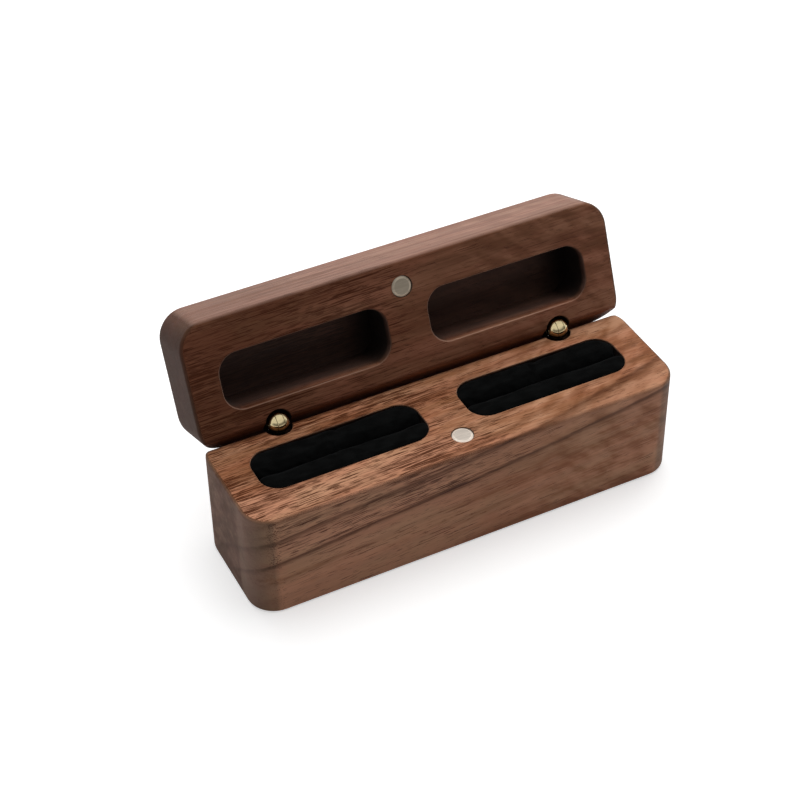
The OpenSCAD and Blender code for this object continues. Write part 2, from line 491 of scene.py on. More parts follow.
class Recipe:
    """Mixes the nodes of a material or of the world, a few words at a time."""

    def __init__(self, owner: bpy.types.Material | bpy.types.World) -> None:
        """Starts with an empty tree.

        Args:
            owner: The material or the world that is mixed.
        """
        owner.use_nodes = True
        self.owner = owner
        self.tree = owner.node_tree
        self.tree.nodes.clear()

    @classmethod
    def start(cls, name: str) -> "Recipe":
        """Starts a new material."""
        return cls(bpy.data.materials.new(name))

    def node(self, kind: str, **settings: object) -> bpy.types.Node:
        """Adds a node.

        Args:
            kind: The node's type without its ShaderNode prefix.
            **settings: Its settings by name.

        Returns:
            The new node.
        """
        made = self.tree.nodes.new("ShaderNode" + kind)
        for key, value in settings.items():
            setattr(made, key, value)
        return made

    def feed(self, socket: Socket, value: object) -> None:
        """Links a socket to another, or sets it to a constant.

        Args:
            socket: The input.
            value: An output socket, a number, a colour or a vector.
        """
        if isinstance(value, bpy.types.NodeSocket):
            self.tree.links.new(value, socket)
        elif isinstance(value, (tuple, list)) and socket.type == "RGBA":
            socket.default_value = (*value[:3], 1.0)
        else:
            socket.default_value = value

    def fill(self, made: bpy.types.Node, **sockets: object) -> bpy.types.Node:
        """Feeds a node's inputs by name.

        Args:
            made: The node.
            **sockets: Values for its inputs, with _ for a space.

        Returns:
            The same node.
        """
        for key, value in sockets.items():
            self.feed(made.inputs[key.replace("_", " ")], value)
        return made

    def math(self, operation: str, a: object, b: object = 0.0, c: object = 0.0) -> Socket:
        """Works a number out of others.

        Args:
            operation: The operation's name.
            a: First operand.
            b: Second operand.
            c: Third operand.

        Returns:
            The result.
        """
        made = self.node("Math", operation=operation)
        for socket, value in zip(made.inputs, (a, b, c)):
            self.feed(socket, value)
        return made.outputs[0]

    def times(self, a: object, b: object) -> Socket:
        """Multiplies two numbers."""
        return self.math("MULTIPLY", a, b)

    def vector(self, operation: str, *operands: object) -> bpy.types.Node:
        """Works a vector or a number out of vectors.

        Args:
            operation: The operation's name.
            *operands: Sockets or vectors.

        Returns:
            The node.
        """
        made = self.node("VectorMath", operation=operation)
        for socket, value in zip(made.inputs, operands):
            self.feed(socket, value)
        return made

    def towards(self, direction: Socket, side: Sequence[float]) -> Socket:
        """Returns how far a direction points to a side, from -1 to 1."""
        unit = tuple(Vector(side).normalized())
        return self.vector("DOT_PRODUCT", direction, unit).outputs["Value"]

    def split(self, vector: Socket) -> list[Socket]:
        """Takes a vector apart.

        Args:
            vector: The vector.

        Returns:
            Its three numbers.
        """
        made = self.node("SeparateXYZ")
        self.feed(made.inputs[0], vector)
        return list(made.outputs)

    def place(
        self,
        source: Socket,
        move: Sequence[float] = (0, 0, 0),
        turn: Sequence[float] = (0, 0, 0),
        stretch: Sequence[float] = (1, 1, 1),
    ) -> Socket:
        """Scales, then turns, then moves a pattern's coordinates.

        Args:
            source: The coordinates.
            move: Offset along each axis.
            turn: Angles in degrees.
            stretch: Scale along each axis.

        Returns:
            The new coordinates.
        """
        made = self.node("Mapping", vector_type="POINT")
        self.feed(made.inputs["Vector"], source)
        made.inputs["Location"].default_value = move
        made.inputs["Rotation"].default_value = [math.radians(a) for a in turn]
        made.inputs["Scale"].default_value = stretch
        return made.outputs[0]

    def object_mm(self) -> Socket:
        """Returns the piece's own coordinates in millimetres."""
        metres = self.node("TexCoord").outputs["Object"]
        return self.place(metres, stretch=(1 / MM, 1 / MM, 1 / MM))

    def noise(self, at: Socket, layer: Cloud) -> bpy.types.Node:
        """Adds cloudy noise.

        Args:
            at: The coordinates.
            layer: What the noise is like.

        Returns:
            The noise node.
        """
        made = self.node("TexNoise", noise_dimensions="3D", normalize=True)
        there = self.place(at, layer.move, layer.turn, layer.stretch)
        return self.fill(
            made, Vector=there, Scale=1.0, Detail=layer.detail, Roughness=layer.rough
        )

    def cloud(self, at: Socket, layer: Cloud) -> Socket:
        """Adds cloudy noise and returns its number from 0 to 1."""
        return self.noise(at, layer).outputs[0]

    def level(
        self,
        value: object,
        low: float,
        high: float,
        to_low: object = 0.0,
        to_high: object = 1.0,
        how: str = "SMOOTHSTEP",
    ) -> Socket:
        """Maps a range onto another and holds it there.

        Args:
            value: The number to map.
            low: Start of its range.
            high: End of its range.
            to_low: What the start becomes.
            to_high: What the end becomes.
            how: SMOOTHSTEP, or LINEAR for an even rise.

        Returns:
            The mapped number.
        """
        made = self.node("MapRange", interpolation_type=how, clamp=True)
        self.fill(
            made, Value=value, From_Min=low, From_Max=high, To_Min=to_low, To_Max=to_high
        )
        return made.outputs[0]

    def ramp(self, value: Socket, stops: Sequence[tuple[float, Colour]]) -> Socket:
        """Turns a number into a colour.

        Args:
            value: A number from 0 to 1.
            stops: Positions and colours in rising order.

        Returns:
            The colour.
        """
        made = self.node("ValToRGB")
        made.color_ramp.interpolation = "B_SPLINE"
        parts = made.color_ramp.elements
        while len(parts) < len(stops):
            parts.new(1.0)
        for part, (position, colour) in zip(parts, stops):
            part.position = position
            part.color = (*colour, 1.0)
        self.feed(made.inputs["Fac"], value)
        return made.outputs["Color"]

    def blend(self, share: object, a: object, b: object, how: str = "MIX") -> Socket:
        """Mixes two colours.

        Args:
            share: How much of the second.
            a: The first colour.
            b: The second colour.
            how: The blend type.

        Returns:
            The mixed colour.
        """
        made = self.node("Mix", data_type="RGBA", blend_type=how, clamp_factor=True)
        # Inputs 6 and 7 and output 2 are the node's colours
        for number, value in ((0, share), (6, a), (7, b)):
            self.feed(made.inputs[number], value)
        return made.outputs[2]

    def tint(self, colour: Socket, tone: Colour) -> Socket:
        """Multiplies a colour by another."""
        return self.blend(1.0, colour, tone, "MULTIPLY")

    def bleach(self, colour: Socket, saturation: float, value: float) -> Socket:
        """Changes a colour's strength and brightness.

        Args:
            colour: The colour.
            saturation: What its saturation is multiplied by.
            value: What its brightness is multiplied by.

        Returns:
            The changed colour.
        """
        made = self.node("HueSaturation")
        self.fill(made, Saturation=saturation, Value=value, Color=colour)
        return made.outputs[0]

    def surface(
        self, colour: object, height: Socket, depth: float, **sockets: object
    ) -> bpy.types.Material:
        """Ends a material's tree with the shader.

        Args:
            colour: The base colour.
            height: Bump height from 0 to 1.
            depth: What a height of 1 is, in millimetres.
            **sockets: Values for the shader's other sockets, with _ for a space.

        Returns:
            The finished material.
        """
        bump = self.fill(self.node("Bump"), Strength=1.0, Distance=depth * MM, Height=height)
        shader = self.fill(self.node("BsdfPrincipled"), Base_Color=colour, **sockets)
        self.feed(shader.inputs["Normal"], bump.outputs[0])
        self.feed(self.node("OutputMaterial").inputs["Surface"], shader.outputs[0])
        return self.owner


@dataclass(frozen=True)
class Pores:
    """A layer of open pores: their spacing along and across the grain, and its own offset."""

    length: float
    width: float
    offset: float


@dataclass(frozen=True)
class Walnut:
    """Oiled walnut: year lines about a pith outside the block, streaks and open pores, with painted
    light and shade on the front face, the rounded corners, the hollows and the holes.
    """

    name: str
    light: Colour
    middle: Colour
    shade: Colour
    dark: Colour
    # Turn about the hinge axis that brings the piece back to the shut block, in degrees
    unturn: float = 0.0
    # Tilt of the fibres and of the year lines about Y and Z, in degrees
    tilt: Pair = (4.0, -1.0)
    line_tilt: Pair = (7.3, 2.9)
    # Offset along each axis, so that two blocks differ
    shift: Triple = (0.0, 0.0, 0.0)

    # Tone: thin fibres, streaks and broad soft bands
    fibre: Cloud = Cloud((0.10, 2.6, 2.6), 3.0, 0.6, weight=0.45)
    streak: Cloud = Cloud((0.035, 0.75, 0.75), weight=0.45)
    band: Cloud = Cloud((0.012, 0.2, 0.2), 1.0, weight=0.6)
    tone_range: Pair = (0.42, 1.08)
    # Ripples that cross the fibres: their turn, where they set in along the block, and how
    # they fade where the fibres end
    ripple: Cloud = Cloud((0.09, 0.42, 0.42))
    ripple_turn: Pair = (-25.0, -26.0)
    ripple_range: Range = (5.0, 25.0, 0.15, 0.9)
    ripple_ends: Range = (0.2, 0.8, 1.0, 0.2)
    # How much paler the left end is, and what is left of that behind the front strip
    pale_end: Range = (14.0, -26.0, 0.0, 0.27)
    pale_strip: Range = (-6.5, -4.0, 1.0, -0.25)
    # Patches that lean to olive
    patch: Cloud = Cloud((0.07, 0.2, 0.2), move=(3.0, 8.0, 5.0))
    patch_range: Pair = (0.38, 0.62)
    olive: Colour = (0.93, 1.02, 1.0)

    # Year lines: the pith across the block in millimetres, how fast they bend up towards the
    # right end, and how far they drift and waver
    pith: Pair = (-64.0, -60.0)
    curve: float = 0.001
    drift: Cloud = Cloud((0.05, 0.1, 0.1), 1.0, weight=0.7)
    waver: Cloud = Cloud((0.22, 0.5, 0.5), weight=0.55)
    # Radius, width and strength of each, dark above 0 and pale below
    year_lines: tuple[Triple, ...] = ()
    # Their soft inner side in widths, how the fibres break them, how faint they are on the ends
    line_inside: float = 2.6
    line_fibres: Range = (0.25, 0.65, 1.0, 0.7)
    line_ends: Range = (0.2, 0.7, 1.0, 0.35)

    pore: Colour = (0.062, 0.014, 0.003)
    pore_depth: float = 0.92
    pore_layers: tuple[Pores, ...] = (
        Pores(20.0, 0.38, 0.0),
        Pores(10.0, 0.29, 9.3),
        Pores(5.0, 0.22, 4.1),
        Pores(3.0, 0.17, 6.7),
    )
    # How the pores wind, and how much they are stretched into the depth of a face
    pore_bend: Cloud = Cloud((0.10, 0.4, 0.4), 1.0, weight=1.1)
    slicing: float = 0.65
    # Half a pore's width in dense wood and what open wood adds, its soft edge, its darkness
    pore_reach: Pair = (0.12, 0.27)
    pore_edge: Pair = (-0.03, 0.05)
    pore_tones: Range = (0.1, 0.7, 0.35, 1.0)
    # Where there are pores: along the block, over the year lines' radius, in patches, and how
    # they fade where the fibres end
    open_grain: Range = (-8.0, 22.0, 1.0, 0.2)
    open_lines: Range = (90.5, 92.5, 0.25, 1.0)
    open_patch: Cloud = Cloud((0.03, 0.12, 0.12), 1.0, move=(7.0, 3.0, 1.0))
    open_patches: Range = (0.36, 0.6, 0.6, 1.0)
    pore_ends: Range = (0.02, 0.35, 1.0, 0.12)

    # The ends: where they set in, and their saturation and value
    end_range: Pair = (0.06, 0.9)
    end_tone: Pair = (0.75, 0.50)
    # Painted shade on the rounded corners beside the ends, which turn away from the light
    corner_start: Pair = (0.0, 0.12)
    corner_stop: Range = (0.35, 0.95, 1.0, 0.0)
    corner_shade_tone: Colour = (0.60, 0.66, 0.68)

    # The front face: where it starts, its saturation and value as painted light and shade, a pale
    # painted sheen with its share, and long dark lines of the grain
    front_range: Range = (-12.9, -12.4, 1.0, 0.0)
    front_light_tone: Pair = (0.98, 0.98)
    painted_sheen: Colour = (0.330, 0.197, 0.149)
    wash_share: float = 0.0
    front_line: Cloud = Cloud((0.008, 0.3, 0.62), 3.0, 0.7, move=(5.0, 2.0, 9.0))
    front_lines: Range = (0.42, 0.62, 0.0, 0.0)

    # How far the painted shade of the hollows and of the holes reaches about them
    hollow_margin: Pair = (0.15, 0.3)
    hole_margin: Pair = (0.1, 0.2)
    # Both darken with their depth: painted shade, towards these colours
    hollow_fade: Range = (0.3, 6.0, 0.0, 0.6)
    hole_fade: Range = (0.1, 0.5, 0.0, 0.9)
    hollow_shade: Colour = (0.011, 0.0075, 0.0065)
    hole: Colour = (0.011, 0.0075, 0.0065)
    # Painted shade at the right end of each hollow: its reach, how dark it is, and from which depth
    far_reach: float = 8.0
    far_end: float = 0.0
    far_depth: Pair = (0.25, 2.2)
    # Painted highlight on the hollows' lip, where its rounded rim catches the light: the depths
    # where it starts and stops, its share at the left and at the right end, and its colour
    lip_start: Pair = (0.0, 0.05)
    lip_stop: Range = (0.12, 0.32, 1.0, 0.0)
    lip_highlight: Pair = (0.5, 0.1)
    worn: Colour = (0.72, 0.40, 0.27)

    # Roughness over the fibres and what the ends add, the shine, and the bump's depth in
    # millimetres with the fibres' share of it
    roughness: Range = (0.3, 0.7, 0.46, 0.58)
    end_roughness: float = 0.2
    shine: float = 0.12
    relief: float = 0.035
    fibre_relief: float = 0.35

    def make(self, cuts: BlockSizes) -> bpy.types.Material:
        """Mixes the walnut for the block that has these sizes."""
        return WalnutMix(self, cuts).finish()


class WalnutMix:
    """The walnut of one block in the making."""

    def __init__(self, wood: Walnut, cuts: BlockSizes) -> None:
        """Finds where a point lies in the block, in its grain and about its pith.

        Args:
            wood: What the walnut looks like.
            cuts: The block's sizes.
        """
        self.wood = wood
        self.cuts = cuts
        self.mix = Recipe.start(wood.name)
        self.block = self.home()
        mix = self.mix
        self.x, self.y, self.z = mix.split(self.block)
        self.grain = mix.place(self.block, move=wood.shift, turn=(0, *wood.tilt))
        self.normal = mix.node("TexCoord").outputs["Normal"]
        across = mix.split(self.normal)[0]
        # 0 where the fibres run along the surface, 1 where they end in it
        self.ends = mix.times(across, across)
        self.fibre = mix.cloud(self.grain, wood.fibre)
        self.radius = self.pith_distance()

    def home(self) -> Socket:
        """Takes the piece's coordinates back to the shut block.

        Returns:
            The coordinates in millimetres.
        """
        unturn = self.wood.unturn
        turn = Matrix.Rotation(math.radians(unturn), 3, "X")
        move = BOX.axis - turn @ BOX.axis
        return self.mix.place(self.mix.object_mm(), move=move, turn=(unturn, 0, 0))

    def pith_distance(self) -> Socket:
        """Works out the distance from the pith, which wanders a little along the block.

        Returns:
            The radius in millimetres.
        """
        mix, wood = self.mix, self.wood
        tilted = mix.split(mix.place(self.block, turn=(0, *wood.line_tilt)))
        across_y = mix.math("SUBTRACT", tilted[1], wood.pith[0])
        across_z = mix.math("SUBTRACT", tilted[2], wood.pith[1])
        radius = mix.times(across_z, across_z)
        radius = mix.math("MULTIPLY_ADD", across_y, across_y, radius)
        radius = mix.math("SQRT", radius)
        for layer in (wood.drift, wood.waver):
            radius = mix.math("MULTIPLY_ADD", mix.cloud(self.grain, layer), layer.weight, radius)
            radius = mix.math("SUBTRACT", radius, layer.weight / 2)
        right = mix.math("MAXIMUM", self.x, 0.0)
        return mix.math("MULTIPLY_ADD", mix.times(right, right), -wood.curve, radius)

    def toned(self) -> Socket:
        """Colours the plain wood by its fibres, streaks, bands and ripples.

        Returns:
            The colour.
        """
        mix, wood = self.mix, self.wood
        tone = mix.times(self.fibre, wood.fibre.weight)
        for layer in (wood.streak, wood.band):
            tone = mix.math("MULTIPLY_ADD", mix.cloud(self.grain, layer), layer.weight, tone)
        turned = mix.place(self.block, turn=(0, *wood.ripple_turn))
        ripple = mix.math("SUBTRACT", mix.cloud(turned, wood.ripple), 0.5)
        strength = mix.level(self.x, *wood.ripple_range)
        strength = mix.times(strength, mix.level(self.ends, *wood.ripple_ends))
        tone = mix.math("MULTIPLY_ADD", ripple, strength, tone)
        pale = mix.level(self.x, *wood.pale_end)
        tone = mix.math("MULTIPLY_ADD", pale, mix.level(self.y, *wood.pale_strip), tone)
        tone = mix.level(tone, *wood.tone_range)
        colour = mix.ramp(tone, [(0.0, wood.shade), (0.5, wood.middle), (1.0, wood.light)])
        olive = mix.level(mix.cloud(self.block, wood.patch), *wood.patch_range)
        return mix.blend(olive, colour, mix.tint(colour, wood.olive))

    def lined(self, colour: Socket) -> Socket:
        """Draws the year lines, each soft with a sharp outer side.

        Args:
            colour: The wood's colour.

        Returns:
            The colour with the lines.
        """
        mix, wood = self.mix, self.wood
        fibres = mix.level(self.fibre, *wood.line_fibres)
        ends = mix.level(self.ends, *wood.line_ends)
        for centre, width, strength in wood.year_lines:
            inner = mix.level(self.radius, centre - wood.line_inside * width, centre)
            outer = mix.level(self.radius, centre, centre + width, 1.0, 0.0)
            line = mix.times(mix.times(inner, outer), abs(strength))
            line = mix.times(mix.times(line, fibres), ends)
            colour = mix.blend(line, colour, wood.dark if strength > 0 else wood.light)
        return colour

    def pores(self) -> Socket:
        """Scatters the pores, dense in open wood and faint where the fibres end.

        Returns:
            A number that is 1 inside a pore.
        """
        mix, wood = self.mix, self.wood
        density = mix.level(self.x, *wood.open_grain)
        density = mix.times(density, mix.level(self.radius, *wood.open_lines))
        patch = mix.cloud(self.grain, wood.open_patch)
        density = mix.times(density, mix.level(patch, *wood.open_patches))
        faces = mix.split(mix.place(self.normal, turn=(wood.unturn, 0, 0)))
        sliced = mix.fill(mix.node("CombineXYZ"), X=1.0)
        for number in (1, 2):
            square = mix.times(faces[number], faces[number])
            mix.feed(sliced.inputs[number], mix.math("MULTIPLY_ADD", square, -wood.slicing, 1.0))
        cut = None
        for layer in wood.pore_layers:
            dashes = self.dashes(layer, sliced.outputs[0], density)
            cut = dashes if cut is None else mix.math("MAXIMUM", cut, dashes)
        return mix.times(cut, mix.level(self.ends, *wood.pore_ends))

    def dashes(self, layer: Pores, sliced: Socket, density: Socket) -> Socket:
        """Makes one layer of pores: crisp short dashes along the grain.

        Args:
            layer: The pores' spacing and offset.
            sliced: How each direction is stretched, so that a dash stays long in its face.
            density: How open the wood is, from 0 to 1.

        Returns:
            A number that is 1 inside a dash.
        """
        mix, wood = self.mix, self.wood
        across = 1 / layer.width
        spaced = mix.place(
            self.grain, move=(0, layer.offset, 0), stretch=(1 / layer.length, across, across)
        )
        flat = mix.vector("MULTIPLY", spaced, sliced)
        bend = mix.noise(self.grain, replace(wood.pore_bend, move=(layer.offset, 0, 0)))
        reach = (0.0, wood.pore_bend.weight, wood.pore_bend.weight)
        wound = mix.vector("MULTIPLY_ADD", bend.outputs["Color"], reach, flat.outputs[0])
        cells = mix.node("TexVoronoi", feature="F1", voronoi_dimensions="3D")
        mix.fill(cells, Vector=wound.outputs[0], Scale=1.0, Randomness=1.0)
        least, more = wood.pore_reach
        half_width = mix.math("MULTIPLY_ADD", density, more, least)
        inside = mix.math("SUBTRACT", half_width, cells.outputs["Distance"])
        shade = mix.node("SeparateColor")
        mix.feed(shade.inputs[0], cells.outputs["Color"])
        darkness = mix.level(shade.outputs[0], *wood.pore_tones)
        return mix.times(mix.level(inside, *wood.pore_edge), darkness)

    def darker_ends(self, colour: Socket, end: Socket) -> Socket:
        """Darkens both ends, where the fibres drink more oil, and paints shade on their rounded
        corners.

        Args:
            colour: The wood's colour.
            end: 1 on the ends.

        Returns:
            The colour with darker ends and shaded corners.
        """
        mix, wood = self.mix, self.wood
        colour = mix.blend(end, colour, mix.bleach(colour, *wood.end_tone))
        corner_shade = mix.times(
            mix.level(self.ends, *wood.corner_start), mix.level(self.ends, *wood.corner_stop)
        )
        return mix.blend(corner_shade, colour, mix.tint(colour, wood.corner_shade_tone))

    def washed_front(self, colour: Socket) -> Socket:
        """Gives the front face painted light and shade, a pale painted sheen and long dark lines of
        the grain.

        Args:
            colour: The wood's colour.

        Returns:
            The colour with the front face done.
        """
        mix, wood = self.mix, self.wood
        front_lit = mix.blend(wood.wash_share, mix.bleach(colour, *wood.front_light_tone), wood.painted_sheen)
        lines = mix.level(mix.cloud(self.block, wood.front_line), *wood.front_lines)
        front_lit = mix.blend(lines, front_lit, wood.shade)
        return mix.blend(mix.level(self.y, *wood.front_range), colour, front_lit)

    def down_to(self, depth: Socket, floor: float) -> Socket:
        """Returns 1 above a floor at a depth and 0 below it."""
        start, stop = self.wood.hollow_margin
        return self.mix.level(depth, floor + start, floor + stop, 1.0, 0.0)

    def hole_shading(self, depth: Socket) -> Socket:
        """Finds where painted shade goes in the holes for the hinges and for the magnet.

        Args:
            depth: The depth under the mating face.

        Returns:
            A number that is 1 deep in a hole.
        """
        mix, wood, cuts = self.mix, self.wood, self.cuts
        holes = [(at, BOX.axis_y, cuts.ball_radius, cuts.ball_depth) for at in cuts.hinge_x]
        holes.append((0.0, cuts.magnet_y, cuts.magnet_radius, cuts.magnet_depth))
        fade = mix.level(depth, *wood.hole_fade)
        start, stop = wood.hole_margin
        dark = None
        for at_x, at_y, radius, floor in holes:
            off_x = mix.math("SUBTRACT", self.x, at_x)
            off_y = mix.math("SUBTRACT", self.y, at_y)
            away = mix.math("MULTIPLY_ADD", off_y, off_y, mix.times(off_x, off_x))
            away = mix.math("SQRT", away)
            hole = mix.level(away, radius + start, radius + stop, 1.0, 0.0)
            hole = mix.times(mix.times(hole, fade), self.down_to(depth, floor))
            dark = hole if dark is None else mix.math("MAXIMUM", dark, hole)
        return dark

    def shaded_hollows(self, colour: Socket) -> Socket:
        """Paints shade into the hollows and holes, and a painted highlight on the hollows' lips.

        Args:
            colour: The wood's colour.

        Returns:
            The colour with the hollows done.
        """
        mix, wood, cuts = self.mix, self.wood, self.cuts
        depth = mix.times(mix.math("SUBTRACT", cuts.face, self.z), cuts.up)
        start, stop = wood.hollow_margin
        middle = mix.times(mix.math("SIGN", self.x), BOX.pocket_x)
        along = mix.math("SUBTRACT", self.x, middle)
        off_x = mix.math("ABSOLUTE", along)
        off_y = mix.math("ABSOLUTE", mix.math("SUBTRACT", self.y, BOX.pocket_y))
        half_long, half_wide = BOX.pocket_length / 2, BOX.pocket_width / 2
        inside = mix.times(
            mix.level(off_x, half_long + start, half_long + stop, 1.0, 0.0),
            mix.level(off_y, half_wide + start, half_wide + stop, 1.0, 0.0),
        )
        inside = mix.times(inside, self.down_to(depth, cuts.hollow_depth))
        shaded = mix.times(inside, mix.level(depth, *wood.hollow_fade))
        far = half_long - wood.far_reach, half_long
        lip_highlight = mix.times(mix.level(depth, *wood.lip_start), mix.level(depth, *wood.lip_stop))
        lip_highlight = mix.times(mix.times(lip_highlight, mix.level(along, *far, *wood.lip_highlight)), inside)
        far_end = mix.level(along, *far, 0.0, wood.far_end)
        far_end = mix.times(far_end, mix.level(depth, *wood.far_depth))
        dark = mix.math("MAXIMUM", mix.times(inside, far_end), self.hole_shading(depth))
        # Painted highlight on the lips, then painted shade in the hollows and deep in the holes
        for share, paint in ((lip_highlight, wood.worn), (shaded, wood.hollow_shade), (dark, wood.hole)):
            colour = mix.blend(share, colour, paint)
        return colour

    def finish(self) -> bpy.types.Material:
        """Puts the layers on one another.

        Returns:
            The finished material.
        """
        mix, wood = self.mix, self.wood
        end = mix.level(self.ends, *wood.end_range)
        cut = self.pores()
        colour = self.lined(self.toned())
        colour = mix.blend(mix.times(cut, wood.pore_depth), colour, wood.pore)
        colour = self.washed_front(self.darker_ends(colour, end))
        colour = self.shaded_hollows(colour)
        height = mix.math("MULTIPLY_ADD", cut, -1.0, mix.times(self.fibre, wood.fibre_relief))
        rough = mix.level(self.fibre, *wood.roughness)
        rough = mix.math("MULTIPLY_ADD", end, wood.end_roughness, rough)
        return mix.surface(
            colour, height, wood.relief, Roughness=rough, Specular_IOR_Level=wood.shine
        )


@dataclass(frozen=True)
class Velvet:
    """Short black pile: almost no colour, with a faint grey sheen where it turns away."""

    name: str = "black_velvet"
    colour: Colour = (0.0013, 0.0014, 0.0014)
    sheen: Colour = (0.055, 0.058, 0.062)
    # Places where the pile lies the other way, and how much paler they are
    brushed: Cloud = Cloud((0.35, 0.6, 0.6), 3.0)
    brushed_range: Pair = (0.35, 0.7)
    brushed_tone: float = 2.6
    pile: Cloud = Cloud((6.0, 6.0, 6.0), 2.0, 0.7)
    pile_depth: float = 0.06

    def make(self) -> bpy.types.Material:
        """Mixes the velvet.

        Returns:
            The finished material.
        """
        mix = Recipe.start(self.name)
        at = mix.object_mm()
        brushed = mix.level(mix.cloud(at, self.brushed), *self.brushed_range)
        pale = tuple(self.brushed_tone * c for c in self.colour)
        return mix.surface(
            mix.blend(brushed, self.colour, pale),
            mix.cloud(at, self.pile),
            self.pile_depth,
            Roughness=0.95,
            Specular_IOR_Level=0.08,
            Sheen_Weight=0.25,
            Sheen_Roughness=0.45,
            Sheen_Tint=self.sheen,
        )


@dataclass(frozen=True)
class Metal:
    """Plated or polished metal with faint scratches, and where set, painted shade on its flat face
    and below a height.
    """

    name: str
    colour: Colour
    roughness: Pair
    metallic: float = 1.0
    # Scratches: their pattern, their tone, and their depth in millimetres
    scratches: Cloud = Cloud((0.4, 3.0, 3.0), 3.0, turn=(0.0, 0.0, 25.0))
    scratch_range: Pair = (0.35, 0.7)
    scratch_tone: float = 0.86
    depth: float = 0.002
    # Patches that are rougher than others
    worn: Cloud = Cloud((0.9, 0.9, 0.9))
    worn_range: Pair = (0.3, 0.7)
    # Way that the flat face looks: painted shade darkens it, so that the rim about it looks paler
    face: Colour | None = None
    face_range: Pair = (0.985, 0.998)
    face_shade_tone: float = 0.72
    # Heights between which painted shade, the shade of the metal's hole, darkens it, and how dark
    # it is below
    shade_below: Pair | None = None
    shade_tone: float = 0.22

    def toned(self, share: float) -> Colour:
        """Returns the metal's colour made darker."""
        return tuple(share * c for c in self.colour)

    def make(self) -> bpy.types.Material:
        """Mixes the metal.

        Returns:
            The finished material.
        """
        mix = Recipe.start(self.name)
        at = mix.object_mm()
        lines = mix.cloud(at, self.scratches)
        bright = mix.level(lines, *self.scratch_range)
        colour = mix.blend(bright, self.toned(self.scratch_tone), self.colour)
        if self.face is not None:
            aligned = mix.towards(mix.node("TexCoord").outputs["Normal"], self.face)
            flat = mix.level(aligned, *self.face_range)
            colour = mix.blend(flat, colour, mix.tint(colour, (self.face_shade_tone,) * 3))
        if self.shade_below is not None:
            painted_shade = mix.level(mix.split(at)[2], *self.shade_below, 1.0, 0.0)
            colour = mix.blend(painted_shade, colour, self.toned(self.shade_tone))
        rough = mix.level(mix.cloud(at, self.worn), *self.worn_range, *self.roughness)
        return mix.surface(colour, lines, self.depth, Metallic=self.metallic, Roughness=rough)


@dataclass(frozen=True)
class Plain:
    """Card or foam: a matt colour with a fine speckle."""

    name: str
    colour: Colour
    # Frequency of the speckle, its range, how dark it is and how deep
    grain: float = 4.0
    speck_range: Pair = (0.3, 0.7)
    speck_tone: float = 0.6
    depth: float = 0.05

    def make(self) -> bpy.types.Material:
        """Mixes the card or foam.

        Returns:
            The finished material.
        """
        mix = Recipe.start(self.name)
        speck = mix.cloud(mix.object_mm(), Cloud((self.grain,) * 3, 3.0))
        deep = tuple(self.speck_tone * c for c in self.colour)
        colour = mix.blend(mix.level(speck, *self.speck_range), deep, self.colour)
        return mix.surface(colour, speck, self.depth, Roughness=0.9)


BASE_WALNUT = Walnut(
    "walnut_base",
    light=(0.62, 0.300, 0.180),
    middle=(0.410, 0.166, 0.084),
    shade=(0.240, 0.082, 0.033),
    dark=(0.085, 0.027, 0.010),
    hollow_fade=(0.08, 0.6, 0.0, 0.97),
    year_lines=(
        (91.67, 0.40, 0.95),
        (91.5, 1.5, 0.30),
        (94.6, 1.3, -0.45),
        (96.3, 0.45, 0.8),
        (96.2, 1.3, 0.35),
        (98.2, 0.4, 0.35),
        (100.6, 0.5, 0.35),
        (88.0, 0.5, 0.25),
        (84.5, 0.7, 0.2),
        (104.0, 0.5, 0.35),
        (108.0, 0.6, 0.4),
    ),
)
LID_WALNUT = Walnut(
    "walnut_lid",
    light=(0.385, 0.163, 0.099),
    middle=(0.250, 0.098, 0.054),
    shade=(0.155, 0.053, 0.026),
    dark=(0.085, 0.027, 0.012),
    unturn=BOX.open_angle,
    tilt=(-1.0, 1.0),
    line_tilt=(-1.5, -2.0),
    shift=(61.0, 0.0, 0.0),
    pale_end=(-14.0, -34.0, 0.0, -0.26),
    pale_strip=(-6.5, -4.0, 1.0, 1.0),
    pith=(40.0, -90.0),
    curve=0.0,
    year_lines=((118.0, 0.5, 0.3), (124.0, 0.5, 0.35), (131.0, 0.6, 0.3)),
    open_grain=(-18.0, 12.0, 1.0, 0.2),
    open_lines=(0.0, 1.0, 0.25, 1.0),
    # The lid's front edge faces up when open: painted light makes it brighter, with a pale painted
    # sheen
    front_light_tone=(0.82, 1.55),
    wash_share=0.5,
    front_lines=(0.42, 0.62, 0.0, 0.42),
    hollow_fade=(0.15, 3.8, 0.0, 0.64),
    hollow_shade=(0.070, 0.057, 0.053),
    far_end=0.96,
    lip_highlight=(0.55, 0.11),
    worn=(0.60, 0.36, 0.27),
)
# Two copies of one nickel plating: painted light makes the base's brighter, painted shade the lid's
# darker
BASE_NICKEL_LIT = Metal(
    "base_nickel_plate",
    (1.0, 0.88, 0.76),
    roughness=(0.30, 0.40),
    metallic=0.2,
    face=(0.0, 0.0, 1.0),
)
LID_NICKEL_SHADED = Metal(
    "lid_nickel_plate",
    (0.62, 0.525, 0.40),
    roughness=(0.30, 0.40),
    metallic=0.35,
    face=tuple(BOX.swing.to_3x3() @ Vector((0, 0, -1))),
)
BRASS = Metal(
    "polished_brass",
    (0.80, 0.66, 0.38),
    roughness=(0.07, 0.14),
    depth=0.0006,
    # Painted shade on the lower part of each knuckle, which sits in its hole
    shade_below=(BOX.axis_z - 0.1, BOX.axis_z + 0.75),
)


# ---------------------------------------------------------------- walnut blocks


